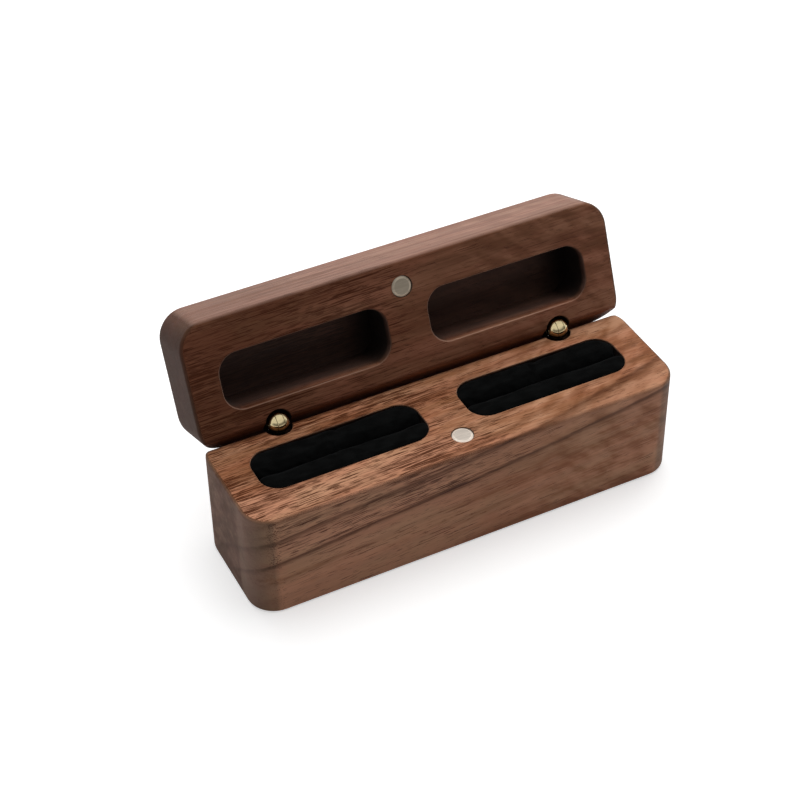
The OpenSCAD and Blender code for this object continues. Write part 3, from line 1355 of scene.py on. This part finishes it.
@dataclass(frozen=True)
class WalnutBlock:
    """A block with rounded corners, two hollows, a rear bevel, a magnet hole and hinge holes."""

    sizes: BlockSizes
    # Edges that bend less than this in degrees belong to the rounded corners
    sharp: float = 30.0

    def shell(self) -> bpy.types.Object:
        """Makes the block with its corners, bevel and outer edges rounded, still solid.

        Returns:
            The block as it lies when the box is shut.
        """
        s = self.sizes
        half_long, half_wide = BOX.length / 2, BOX.width / 2
        low, high = (-half_long, -half_wide, s.bottom), (half_long, half_wide, s.bottom + s.height)
        piece = add_slab(s.name, low, high)
        pick(piece, Part.EDGE, is_upright)
        bpy.ops.mesh.bevel(
            offset=BOX.corner_radius * MM,
            segments=s.corner_steps,
            affect="EDGES",
            clamp_overlap=False,
        )
        bpy.ops.mesh.select_all(action="SELECT")
        slope = Vector((0, s.bevel_rise, s.up * s.bevel_run)).normalized()
        start = Vector((0, half_wide - s.bevel_run, s.face)) + slope * s.bevel_ease
        bpy.ops.mesh.bisect(plane_co=start * MM, plane_no=slope, use_fill=True, clear_outer=True)
        bpy.ops.mesh.select_all(action="SELECT")
        bpy.ops.mesh.remove_doubles(threshold=s.merge * MM)
        done()
        self.weigh_edges(piece)
        apply_modifier(
            piece,
            "BEVEL",
            width=s.edge_round * MM,
            segments=5,
            limit_method="WEIGHT",
            use_clamp_overlap=False,
        )
        return piece

    def weigh_edges(self, piece: bpy.types.Object) -> None:
        """Gives the block's sharp edges the share of rounding that each gets.

        Args:
            piece: The block, in object mode.
        """
        s = self.sizes
        weights = piece.data.attributes.new("bevel_weight_edge", "FLOAT", "EDGE")
        mesh = bmesh.new()
        mesh.from_mesh(piece.data)
        mesh.edges.ensure_lookup_table()
        for edge in mesh.edges:
            if edge.calc_face_angle(0.0) < math.radians(self.sharp):
                continue
            rises = [abs(face.normal.z) for face in edge.link_faces]
            on_bevel = any(0.1 < rise < 0.95 for rise in rises)
            on_side = any(rise < 0.1 for rise in rises)
            width = s.bevel_round if on_bevel else s.edge_round
            if on_bevel and on_side and s.mouth is Mouth.DOWN:
                width = s.stop_round
            weights.data[edge.index].value = width / s.edge_round
        mesh.free()

    def flare(self, tool: bpy.types.Object, middle: Pair, extent: Pair, r: float) -> None:
        """Widens a cutting tool's mouth in small steps, so that it leaves a rounded rim.

        Args:
            tool: The tool, whose mouth lies just inside the mating face.
            middle: The mouth's middle along X and Y in millimetres.
            extent: Its length and width in millimetres.
            r: Radius of the rim's rounding.
        """
        s = self.sizes
        pick(tool, Part.FACE, lambda f: f.normal.z * s.up > 0.9)
        turns = [math.pi / 2 * i / s.rim_steps for i in range(s.rim_steps + 1)]
        stops = [(r * math.sin(a), r * (1 - math.cos(a))) for a in turns]
        stops.append((r + s.tool_reach, r + s.tool_flare))
        centre = (middle[0] * MM, middle[1] * MM, (s.face - s.up * r) * MM)
        for (low, narrow), (high, wide) in zip(stops, stops[1:]):
            bpy.ops.mesh.extrude_region_move(
                TRANSFORM_OT_translate={"value": (0, 0, (high - low) * s.up * MM)}
            )
            grown = [(size + 2 * wide) / (size + 2 * narrow) for size in extent]
            bpy.ops.transform.resize(value=(*grown, 1), center_override=centre)
        done()

    def hollow_tool(self, side: Side) -> bpy.types.Object:
        """Makes the tool that cuts one pocket or recess.

        Args:
            side: The end of the box.

        Returns:
            The tool.
        """
        s = self.sizes
        x, y = side.value * BOX.pocket_x, BOX.pocket_y
        half_long, half_wide = BOX.pocket_length / 2, BOX.pocket_width / 2
        ends = s.face - s.up * s.hollow_depth, s.face - s.up * s.pocket_round
        low = x - half_long, y - half_wide, min(ends)
        high = x + half_long, y + half_wide, max(ends)
        tool = add_slab("tool", low, high)
        pick(tool, Part.EDGE, is_upright)
        bpy.ops.mesh.bevel(
            offset=BOX.pocket_corner * MM, segments=16, affect="EDGES", clamp_overlap=False
        )
        done()
        self.flare(tool, (x, y), (BOX.pocket_length, BOX.pocket_width), s.pocket_round)
        return tool

    def round_tool(
        self, radius: float, middle: Pair, depth: float, rim: float
    ) -> bpy.types.Object:
        """Makes the tool that drills one round hole with an eased rim.

        Args:
            radius: Radius of the hole.
            middle: Its middle along X and Y.
            depth: Its depth.
            rim: Radius of the rim's rounding.

        Returns:
            The tool.
        """
        s = self.sizes
        foot = min(s.face - s.up * depth, s.face - s.up * rim)
        tool = add_rod("tool", radius, (*middle, foot), depth - rim)
        self.flare(tool, middle, (2 * radius, 2 * radius), rim)
        return tool

    def build(self) -> bpy.types.Object:
        """Makes the finished block.

        Returns:
            The block as it lies when the box is shut.
        """
        s = self.sizes
        piece = self.shell()
        for side in Side:
            combine(piece, self.hollow_tool(side))
        magnet = self.round_tool(s.magnet_radius, (0.0, s.magnet_y), s.magnet_depth, s.magnet_round)
        combine(piece, magnet)
        for x in s.hinge_x:
            middle = x, BOX.axis_y
            combine(piece, self.round_tool(s.ball_radius, middle, s.ball_depth, s.rim_round))
            foot = s.face if s.mouth is Mouth.DOWN else s.face - s.stem_depth
            combine(piece, add_rod("tool", s.stem_radius, (*middle, foot), s.stem_depth, 48))
        smooth(piece)
        return piece


# ---------------------------------------------------------------- magnets


@dataclass(frozen=True)
class DiscMagnet:
    """A plated disc let into the base, with a shallow sloping rim, and its twin in the lid."""

    radius: float = 2.05
    thickness: float = 2.0
    y: float = -7.75
    # How far below the mating faces the discs lie
    sunk: float = 0.05
    # The rim's width, how far it slopes down, and the small rounding of its outer edge
    rim: float = 0.36
    slope: float = 0.16
    edge: float = 0.07
    # Width and height of the small step between the rim and the flat face
    step: Pair = (0.1, 0.012)

    @property
    def base_bottom(self) -> float:
        """Height of the base's disc."""
        return BOX.base_height - self.sunk - self.thickness

    def build(self) -> bpy.types.Object:
        """Makes the base's disc, with the shown face on top.

        Returns:
            The disc in its hole.
        """
        foot = 0, self.y, self.base_bottom
        piece = add_rod("base_magnet_disc", self.radius, foot, self.thickness)
        pick(piece, Part.EDGE, is_crisp)
        bpy.ops.mesh.bevel(offset=self.edge * MM, segments=2, affect="EDGES")
        done()
        pick(piece, Part.FACE, lambda f: f.normal.z > 0.99)
        bpy.ops.mesh.inset(thickness=self.rim * MM, depth=self.slope * MM)
        bpy.ops.mesh.inset(thickness=self.step[0] * MM, depth=self.step[1] * MM)
        done()
        # The insets raised the face, so the upper half goes back down by as much
        rise = (self.slope + self.step[1]) * MM
        middle = (self.base_bottom + self.thickness / 4) * MM
        for vertex in piece.data.vertices:
            if vertex.co.z > middle:
                vertex.co.z -= rise
        smooth(piece, angle=25.0)
        return piece

    def twin(self, piece: bpy.types.Object) -> bpy.types.Object:
        """Copies the base's disc into the open lid.

        Args:
            piece: The base's disc.

        Returns:
            The copy in its hole.
        """
        middle = Vector((0, self.y, self.base_bottom + self.thickness / 2)) * MM
        there = Vector((0, self.y, BOX.lid_bottom + self.sunk + self.thickness / 2)) * MM
        turn = Matrix.Rotation(math.pi, 4, "X")
        over = Matrix.Translation(there) @ turn @ Matrix.Translation(-middle)
        return copy_of(piece, "lid_magnet_disc", BOX.swing @ over)


# ---------------------------------------------------------------- hinges


@dataclass(frozen=True)
class Knuckle:
    """A ball hinge: two outer slices and a middle slice of one ball, on a cross pin."""

    side: Side
    x: float
    ball_radius: float = 2.2
    eye_thickness: float = 1.4
    slot_slack: float = 0.05
    # Radius of the fork's slot, beyond which the eye's stem is full
    sweep: float = 2.35
    stem_radius: float = 1.3
    base_stem: float = 10.0
    lid_stem: float = 6.2
    # How far below the axis the base's stem ends, and how far the eye's neck enters its stem
    fork_root: float = 1.2
    neck_overlap: float = 0.2
    pin_radius: float = 0.6
    # Play of the pin in the fork and in the eye
    fork_play: float = 0.02
    eye_play: float = 0.04
    # Roundings of the cut edges and of the pin's ends
    edge: float = 0.07
    pin_edge: float = 0.12

    @property
    def place(self) -> Vector:
        """The ball's middle."""
        return Vector((self.x, 0, 0)) + BOX.axis

    def ball(self, name: str) -> bpy.types.Object:
        """Makes a ball on the hinge axis, with its poles at the ends of the pin.

        Args:
            name: The piece's name.

        Returns:
            The ball.
        """
        free_hands()
        bpy.ops.mesh.primitive_uv_sphere_add(
            segments=96, ring_count=64, radius=self.ball_radius * MM
        )
        piece = named(name)
        piece.rotation_euler = Euler((0, math.pi / 2, 0))
        piece.location = self.place * MM
        settle(piece)
        return piece

    def slab(self, thickness: float, radius: float) -> bpy.types.Object:
        """Makes a round slab across the hinge axis.

        Args:
            thickness: Its thickness along X.
            radius: Its radius.

        Returns:
            The slab.
        """
        free_hands()
        bpy.ops.mesh.primitive_cylinder_add(
            vertices=72, radius=radius * MM, depth=thickness * MM, rotation=(0, math.pi / 2, 0)
        )
        piece = named("tool")
        piece.location = self.place * MM
        settle(piece)
        return piece

    def stem(self, start: float, length: float) -> bpy.types.Object:
        """Makes a part of a stem, which starts at a height above the hinge axis."""
        foot = self.place + Vector((0, 0, start))
        return add_rod("tool", self.stem_radius, foot, length, 64)

    def ease(self, piece: bpy.types.Object) -> None:
        """Rounds the edges that the cuts left and shades the piece.

        Args:
            piece: The cut piece.
        """
        apply_modifier(
            piece,
            "BEVEL",
            width=self.edge * MM,
            segments=2,
            limit_method="ANGLE",
            angle_limit=math.radians(40),
            use_clamp_overlap=False,
        )
        smooth(piece, angle=35.0)

    def fork(self) -> bpy.types.Object:
        """Makes the two outer slices on their stem in the base.

        Returns:
            The fork.
        """
        piece = self.ball(f"{self.side.word}_knuckle_fork")
        reach = self.ball_radius + self.base_stem
        combine(piece, self.stem(-reach, reach - self.fork_root), Way.JOIN)
        combine(piece, self.slab(self.eye_thickness + 2 * self.slot_slack, self.sweep))
        combine(piece, self.slab(3 * self.ball_radius, self.pin_radius + self.fork_play))
        self.ease(piece)
        return piece

    def eye(self) -> bpy.types.Object:
        """Makes the middle slice on its stem in the lid.

        Returns:
            The eye with the lid open.
        """
        piece = self.ball(f"{self.side.word}_knuckle_eye")
        wide = 2 * self.ball_radius
        combine(piece, self.slab(self.eye_thickness, wide), Way.CROSS)
        neck = self.stem(0.0, self.sweep + self.neck_overlap)
        combine(neck, self.slab(self.eye_thickness, wide), Way.CROSS)
        combine(piece, neck, Way.JOIN)
        length = self.ball_radius + self.lid_stem - self.sweep
        combine(piece, self.stem(self.sweep, length), Way.JOIN)
        combine(piece, self.slab(wide, self.pin_radius + self.eye_play))
        self.ease(piece)
        piece.data.transform(BOX.swing)
        return piece

    def pin(self) -> bpy.types.Object:
        """Makes the cross pin with its rounded ends.

        Returns:
            The pin.
        """
        reach = math.sqrt(self.ball_radius**2 - self.pin_radius**2)
        piece = self.slab(2 * reach, self.pin_radius)
        piece.name = piece.data.name = f"{self.side.word}_knuckle_pin"
        pick(piece, Part.EDGE, is_crisp)
        bpy.ops.mesh.bevel(offset=self.pin_edge * MM, segments=3, affect="EDGES")
        done()
        smooth(piece, angle=60.0)
        return piece


# ---------------------------------------------------------------- pads


@dataclass(frozen=True)
class PadForm:
    """The form that all pad halves start from: a closed cover blown up like a cushion.

    It is modelled and simulated many times larger, where the cloth solver is steady.
    """

    bottom: float = 5.0
    top: float = 23.1
    # Where the slit's side starts, and how far inside the walls and the top the form starts
    slit_side: float = 0.2
    wall_ease: float = 0.12
    top_ease: float = 0.12
    wall_corner: float = 3.9
    slit_corner: float = 1.2
    # Rolls of the top edge, at the wall and at the slit
    wall_roll: float = 0.25
    slit_roll: float = 1.8
    voxel: float = 0.42
    enlarge: float = 20.0
    # Depths under the top between which the cover goes from loose to held
    held: Pair = (3.0, 7.0)
    # The furthest that a point may swell
    cap: float = 0.55
    frames: int = 20

    @property
    def unit(self) -> float:
        """A millimetre of the enlarged form, in metres."""
        return self.enlarge * MM

    def start(self) -> bpy.types.Object:
        """Makes the slightly smaller closed form that the cloth starts from, enlarged.

        Returns:
            The form.
        """
        k = self.enlarge
        far_end = (BOX.pocket_length / 2 - self.wall_ease) * k
        near, far = self.slit_side * k, (BOX.pocket_width / 2 - self.wall_ease) * k
        top = (self.top - self.top_ease) * k
        piece = add_slab("pad_form", (-far_end, near, self.bottom * k), (far_end, far, top))
        for radius, edge_y in ((self.wall_corner, far), (self.slit_corner, near)):
            pick(
                piece,
                Part.EDGE,
                lambda e: is_upright(e)
                and abs(e.verts[0].co.y - edge_y * MM) < SAME
                and abs(abs(e.verts[0].co.x) - far_end * MM) < SAME,
            )
            bpy.ops.mesh.bevel(offset=radius * k * MM, segments=8, affect="EDGES")
            done()
        reach = (near + self.slit_corner * k) * MM + 10 * SAME
        for roll, at_slit in ((self.slit_roll, True), (self.wall_roll, False)):
            pick(
                piece,
                Part.EDGE,
                lambda e: all(abs(v.co.z - top * MM) < SAME for v in e.verts)
                and len({round(f.normal.z, 1) for f in e.link_faces}) > 1
                and (max(v.co.y for v in e.verts) < reach) == at_slit
                and any(abs(f.normal.z) < 0.1 for f in e.link_faces),
            )
            bpy.ops.mesh.bevel(offset=roll * k * MM, segments=5, affect="EDGES")
            done()
        apply_modifier(piece, "REMESH", mode="VOXEL", voxel_size=self.voxel * k * MM)
        return piece

    def hold(self, piece: bpy.types.Object) -> None:
        """Holds the cover's lower part, which lies against the foam and the walls.

        Args:
            piece: The enlarged form.
        """
        group = piece.vertex_groups.new(name="held")
        loose, tight = self.held
        for vertex in piece.data.vertices:
            depth = self.top - vertex.co.z / self.unit
            share = min(1.0, max(0.0, (depth - loose) / (tight - loose)))
            group.add([vertex.index], share, "REPLACE")

    def swell(self, piece: bpy.types.Object) -> None:
        """Blows the cover up by a cloth simulation.

        Args:
            piece: The enlarged form.
        """
        before = [v.co.copy() for v in piece.data.vertices]
        self.hold(piece)
        take(piece)
        bpy.ops.object.modifier_add(type="CLOTH")
        cloth = piece.modifiers[-1]
        for key, value in (
            ("quality", 5),
            ("mass", 0.3),
            ("tension_stiffness", 15),
            ("compression_stiffness", 15),
            ("shear_stiffness", 5),
            ("bending_stiffness", 2.0),
            ("use_pressure", True),
            ("uniform_pressure_force", 4),
            ("shrink_min", -0.012),
            ("vertex_group_mass", "held"),
        ):
            setattr(cloth.settings, key, value)
        cloth.settings.effector_weights.gravity = 0
        cloth.collision_settings.use_collision = False
        cloth.point_cache.frame_start, cloth.point_cache.frame_end = 1, self.frames
        for number in range(1, self.frames + 1):
            bpy.context.scene.frame_set(number)
        bpy.ops.object.modifier_apply(modifier=cloth.name)
        bpy.context.scene.frame_set(1)
        piece.vertex_groups.clear()
        limit = self.cap * self.unit
        for vertex, rest in zip(piece.data.vertices, before):
            step = vertex.co - rest
            if step.length > limit:
                vertex.co = rest + step * (limit / step.length)

    def build(self) -> bpy.types.Object:
        """Makes the form at its real size, about the pocket's middle.

        Returns:
            The form.
        """
        piece = self.start()
        self.swell(piece)
        piece.data.transform(Matrix.Scale(1 / self.enlarge, 4))
        apply_modifier(piece, "SUBSURF", levels=1, render_levels=1)
        return piece


@dataclass(frozen=True)
class VelvetPad:
    """One half of a pad: foam in a velvet cover, pressed between the wall and the other half."""

    side: Side
    half: Half
    form: PadForm = PadForm()
    # Room left to the pocket's wall and to the middle of the slit
    wall_gap: float = 0.03
    slit_gap: float = 0.02
    highest: float = 23.08
    # Each wave of the slit: height, frequency and phase, and what the right pad adds to that
    waves: tuple[Triple, ...] = ((0.16, 0.21, 0.4), (0.07, 0.55, 2.1))
    right_phase: float = 1.7
    # Each wave of the crown: height, frequency along and across, and share of the pad's seed
    rumples: tuple[tuple[float, float, float, float], ...] = (
        (0.09, 0.33, 0.0, 1.0),
        (0.05, 0.81, 0.0, 2.4),
        (0.04, 0.6, 1.9, 1.0),
    )
    # How far down the crown's waves reach, and how much lower it lies as a whole
    rumple_depth: float = 4.0
    rumple_drop: float = 0.05

    @property
    def name(self) -> str:
        """The piece's name."""
        return f"{self.side.word}_{self.half.word}_velvet_pad"

    def node(self, part: str) -> str:
        """The CAD node of one of the pad's parts."""
        return f"{self.side.word}_{self.half.word}_pad_{part}"

    def slit_line(self, x: float) -> float:
        """Returns how far the slit wanders from the pocket's middle, x along the pad."""
        phase = self.right_phase if self.side is Side.RIGHT else 0.0
        return sum(a * math.sin(f * x + p + phase) for a, f, p in self.waves)

    def press(self, piece: bpy.types.Object) -> None:
        """Presses the form between the pocket's wall and the wandering slit.

        Args:
            piece: The swollen form, about the pocket's middle.
        """
        half_long = BOX.pocket_length / 2 - self.wall_gap
        half_wide = BOX.pocket_width / 2 - self.wall_gap
        r = self.form.wall_corner
        for vertex in piece.data.vertices:
            x, y, z = vertex.co / MM
            x = max(-half_long, min(half_long, x))
            y = min(half_wide, y)
            inside = Vector((max(r - half_long, min(half_long - r, x)), min(half_wide - r, y)))
            reach = Vector((x, y)) - inside
            if y > half_wide - r and reach.length > r:
                x, y = inside + reach * (r / reach.length)
            y = max(self.half.value * self.slit_line(x) + self.slit_gap, y)
            vertex.co = Vector((x, y, max(self.form.bottom, z))) * MM

    def rumple(self, piece: bpy.types.Object) -> None:
        """Gives the crown its shallow hand-wrapped unevenness.

        Args:
            piece: The pressed form, about the pocket's middle.
        """
        seed = 3.1 * self.side.value + 1.3 * self.half.value
        for vertex in piece.data.vertices:
            x, y, z = vertex.co / MM
            depth = max(0.0, 1 - (self.form.top - z) / self.rumple_depth)
            lift = sum(
                a * math.sin(along * x + across * y + share * seed)
                for a, along, across, share in self.rumples
            )
            vertex.co.z = min(z + (lift - self.rumple_drop) * depth, self.highest) * MM

    def build(self, form: bpy.types.Object) -> bpy.types.Object:
        """Makes the pad half from a copy of the common form.

        Args:
            form: The form.

        Returns:
            The pad half in its pocket.
        """
        piece = copy_of(form, self.name, Matrix())
        self.press(piece)
        self.rumple(piece)
        if self.half is Half.FRONT:
            piece.data.transform(Matrix.Scale(-1, 4, (0, 1, 0)))
            take(piece)
            bpy.ops.object.mode_set(mode="EDIT")
            bpy.ops.mesh.select_all(action="SELECT")
            bpy.ops.mesh.flip_normals()
            done()
        move = Vector((self.side.value * BOX.pocket_x, BOX.pocket_y, 0)) * MM
        piece.data.transform(Matrix.Translation(move))
        take(piece)
        bpy.ops.object.shade_smooth()
        return piece


# ---------------------------------------------------------------- studio


@dataclass(frozen=True)
class SoftLamp:
    """A square soft lamp that looks at the box."""

    name: str
    place: Triple
    size: float
    watts: float
    target: Triple = (0.0, 0.0, 0.02)

    def hang(self) -> None:
        """Adds the lamp to the scene."""
        lamp = bpy.data.lights.new(self.name, "AREA")
        lamp.shape = "SQUARE"
        lamp.size = self.size
        lamp.energy = self.watts
        holder = bpy.data.objects.new(self.name, lamp)
        holder.visible_glossy = False
        holder.location = self.place
        aim = Vector(self.target) - Vector(self.place)
        holder.rotation_euler = aim.to_track_quat("-Z", "Y").to_euler()
        bpy.context.scene.collection.objects.link(holder)


@dataclass(frozen=True)
class Studio:
    """White floor, white surroundings, a lamp and the camera, in metres."""

    lamp: SoftLamp = SoftLamp("lamp_above", (0.10, 0.19, 0.62), 0.76, 4.5)
    # Light of the room: on its dim side and on its bright side, where that is, and how
    # fast the light rises towards it
    sky: Pair = (0.016, 0.352)
    bright_side: Triple = (0.45, 0.55, 0.70)
    sky_rise: float = 2.0
    # What gloss sees: low down in the dim part of the room, and elsewhere
    gloss: Pair = (0.208, 0.8)
    # Where the dim part is, and between which heights and angles it fades, from -1 to 1
    dim_side: Triple = (0.0, -1.0, 0.0)
    dim_height: Pair = (0.30, 0.55)
    dim_range: Pair = (0.1, 0.45)
    floor_size: float = 6.0
    # How far the floor lies under the box, so that the two don't coincide
    floor_drop: float = 0.00002
    floor_albedo: float = 0.8
    floor_glow: float = 0.52
    # How much brighter the floor looks far away: from and to which distance
    far_glow: Range = (0.25, 0.9, 0.0, 0.45)
    # The camera's turn in degrees
    azimuth: float = -26.26034
    elevation: float = 40.4431
    roll: float = -1.00371
    camera_place: Triple = (-0.12984, -0.24485, 0.26192)
    focal_pixels: float = 1936.406
    picture_pixels: float = 800.0
    sensor_mm: float = 36.0

    def floor(self) -> None:
        """Lays the pale floor, which keeps the box's shadow."""
        free_hands()
        bpy.ops.mesh.primitive_plane_add(size=self.floor_size, location=(0, 0, -self.floor_drop))
        plane = named("studio_floor")
        mix = Recipe.start("studio_floor")
        seen = mix.node("LightPath").outputs
        share = mix.math("MAXIMUM", seen["Is Camera Ray"], seen["Is Glossy Ray"])
        share = mix.math("MAXIMUM", share, seen["Is Transmission Ray"])
        away = mix.vector("LENGTH", mix.node("TexCoord").outputs["Object"]).outputs["Value"]
        far = mix.times(mix.level(away, *self.far_glow), seen["Is Camera Ray"])
        glow = mix.node("Emission")
        mix.fill(glow, Strength=mix.math("MULTIPLY_ADD", share, self.floor_glow, far))
        paper = mix.fill(mix.node("BsdfDiffuse"), Color=(self.floor_albedo,) * 3)
        both = mix.node("AddShader")
        mix.feed(both.inputs[0], paper.outputs[0])
        mix.feed(both.inputs[1], glow.outputs[0])
        mix.feed(mix.node("OutputMaterial").inputs["Surface"], both.outputs[0])
        plane.data.materials.append(mix.owner)

    def surroundings(self) -> None:
        """Makes the world: white to look at, soft and dimmer in front as a light."""
        world = bpy.data.worlds.new("studio")
        bpy.context.scene.world = world
        mix = Recipe(world)
        way = mix.node("TexCoord").outputs["Generated"]
        seen = mix.node("LightPath").outputs
        rise = mix.level(mix.towards(way, self.bright_side), -1.0, 1.0, how="LINEAR")
        rise = mix.math("POWER", rise, self.sky_rise)
        light = mix.level(rise, 0.0, 1.0, *self.sky, how="LINEAR")
        height = mix.towards(way, (0.0, 0.0, 1.0))
        low = mix.level(height, *self.dim_height, *self.gloss, how="LINEAR")
        dim = mix.towards(way, self.dim_side)
        gloss = mix.level(dim, *self.dim_range, self.gloss[1], low, how="LINEAR")
        felt = mix.level(seen["Is Glossy Ray"], 0.0, 1.0, light, gloss, how="LINEAR")
        look = mix.math("MAXIMUM", seen["Is Camera Ray"], seen["Is Transmission Ray"])
        strength = mix.level(look, 0.0, 1.0, felt, 1.0, how="LINEAR")
        back = mix.fill(mix.node("Background"), Color=(1.0, 1.0, 1.0), Strength=strength)
        mix.feed(mix.node("OutputWorld").inputs["Surface"], back.outputs[0])

    def camera(self) -> None:
        """Sets the camera up where the photograph was taken from."""
        a, e, r = (math.radians(v) for v in (self.azimuth, self.elevation, self.roll))
        back = Vector((math.sin(a) * math.cos(e), -math.cos(a) * math.cos(e), math.sin(e)))
        level = Vector((math.cos(a), math.sin(a), 0))
        up = back.cross(level)
        right = math.cos(r) * level + math.sin(r) * up
        up = math.cos(r) * up - math.sin(r) * level
        lens = bpy.data.cameras.new("camera")
        lens.sensor_width = self.sensor_mm
        lens.lens = self.focal_pixels * self.sensor_mm / self.picture_pixels
        lens.clip_start, lens.clip_end = 0.01, 20.0
        holder = bpy.data.objects.new("camera", lens)
        turn = Matrix((right, up, back)).transposed().to_4x4()
        holder.matrix_world = Matrix.Translation(self.camera_place) @ turn
        bpy.context.scene.collection.objects.link(holder)
        bpy.context.scene.camera = holder

    def build(self) -> None:
        """Sets up the whole studio."""
        self.camera()
        self.floor()
        self.surroundings()
        self.lamp.hang()
        bpy.context.scene.view_settings.view_transform = "Standard"


# ---------------------------------------------------------------- the box


@dataclass(frozen=True)
class DisplayBox:
    """The whole box: two blocks, two magnets, two hinges and two pads."""

    base: WalnutBlock = WalnutBlock(BASE_SIZES)
    lid: WalnutBlock = WalnutBlock(LID_SIZES)
    magnet: DiscMagnet = DiscMagnet()
    pad_form: PadForm = PadForm()
    velvet: Velvet = Velvet()
    card: Plain = Plain("grey_card", (0.20, 0.19, 0.18))
    foam: Plain = Plain("grey_foam", (0.30, 0.30, 0.31), grain=1.6)
    pad_fill: float = 0.85

    def build_blocks(self) -> None:
        """Makes the two walnut blocks."""
        walnut = BASE_WALNUT.make(self.base.sizes)
        fit_out(self.base.build(), Body.BASE, Slot.WALNUT_BASE, walnut, "base_body")
        lid = self.lid.build()
        lid.data.transform(BOX.swing)
        walnut = LID_WALNUT.make(self.lid.sizes)
        fit_out(lid, Body.LID, Slot.WALNUT_LID, walnut, "lid_body")

    def build_magnets(self) -> None:
        """Makes the two disc magnets."""
        base = self.magnet.build()
        lid = self.magnet.twin(base)
        fit_out(base, Body.BASE, Slot.NICKEL, BASE_NICKEL_LIT.make(), "base_magnet")
        fit_out(lid, Body.LID, Slot.NICKEL, LID_NICKEL_SHADED.make(), "lid_magnet")

    def build_hinges(self) -> None:
        """Makes the left brass hinge and copies it to the right."""
        brass = BRASS.make()
        left, right = self.base.sizes.hinge_x
        hinge = Knuckle(Side.LEFT, left)
        models = {"fork": hinge.fork(), "eye": hinge.eye(), "pin": hinge.pin()}
        move = Matrix.Translation((MM * (right - left), 0, 0))
        twins = {
            part: copy_of(model, f"{Side.RIGHT.word}_knuckle_{part}", move)
            for part, model in models.items()
        }
        for side, pieces in zip(Side, (models, twins)):
            for part, piece in pieces.items():
                body = Body.LID if part == "eye" else Body.BASE
                fit_out(piece, body, Slot.BRASS, brass, f"{side.word}_hinge_{part}")

    def build_pads(self) -> None:
        """Makes the velvet halves, and dresses the card and foam inside them."""
        velvet, card, foam = self.velvet.make(), self.card.make(), self.foam.make()
        form = self.pad_form.build()
        for side in Side:
            for half in Half:
                pad = VelvetPad(side, half, self.pad_form)
                piece = pad.build(form)
                fit_out(piece, Body.BASE, Slot.VELVET, velvet, pad.node("cover"))
                self.dress(pad.node("foam"), foam)
            self.dress(f"{side.word}_pad_card", card)
        throw_away(form)

    def dress(self, node: str, finish: bpy.types.Material) -> None:
        """Gives a CAD node that stays in the model its finish.

        Args:
            node: The node's name.
            finish: Its material.
        """
        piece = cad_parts[node]
        piece.data.materials.clear()
        piece.data.materials.append(finish)
        log.info("%s: kept from the model", node)

    def build(self) -> None:
        """Makes the whole box, in order."""
        self.build_blocks()
        self.build_magnets()
        self.build_hinges()
        self.build_pads()


def main() -> None:
    """Builds the studio and the box."""
    logging.basicConfig(level=logging.INFO, format="%(name)s: %(message)s")
    Studio().build()
    DisplayBox().build()
    free_hands()


if __name__ == "__main__":
    main()
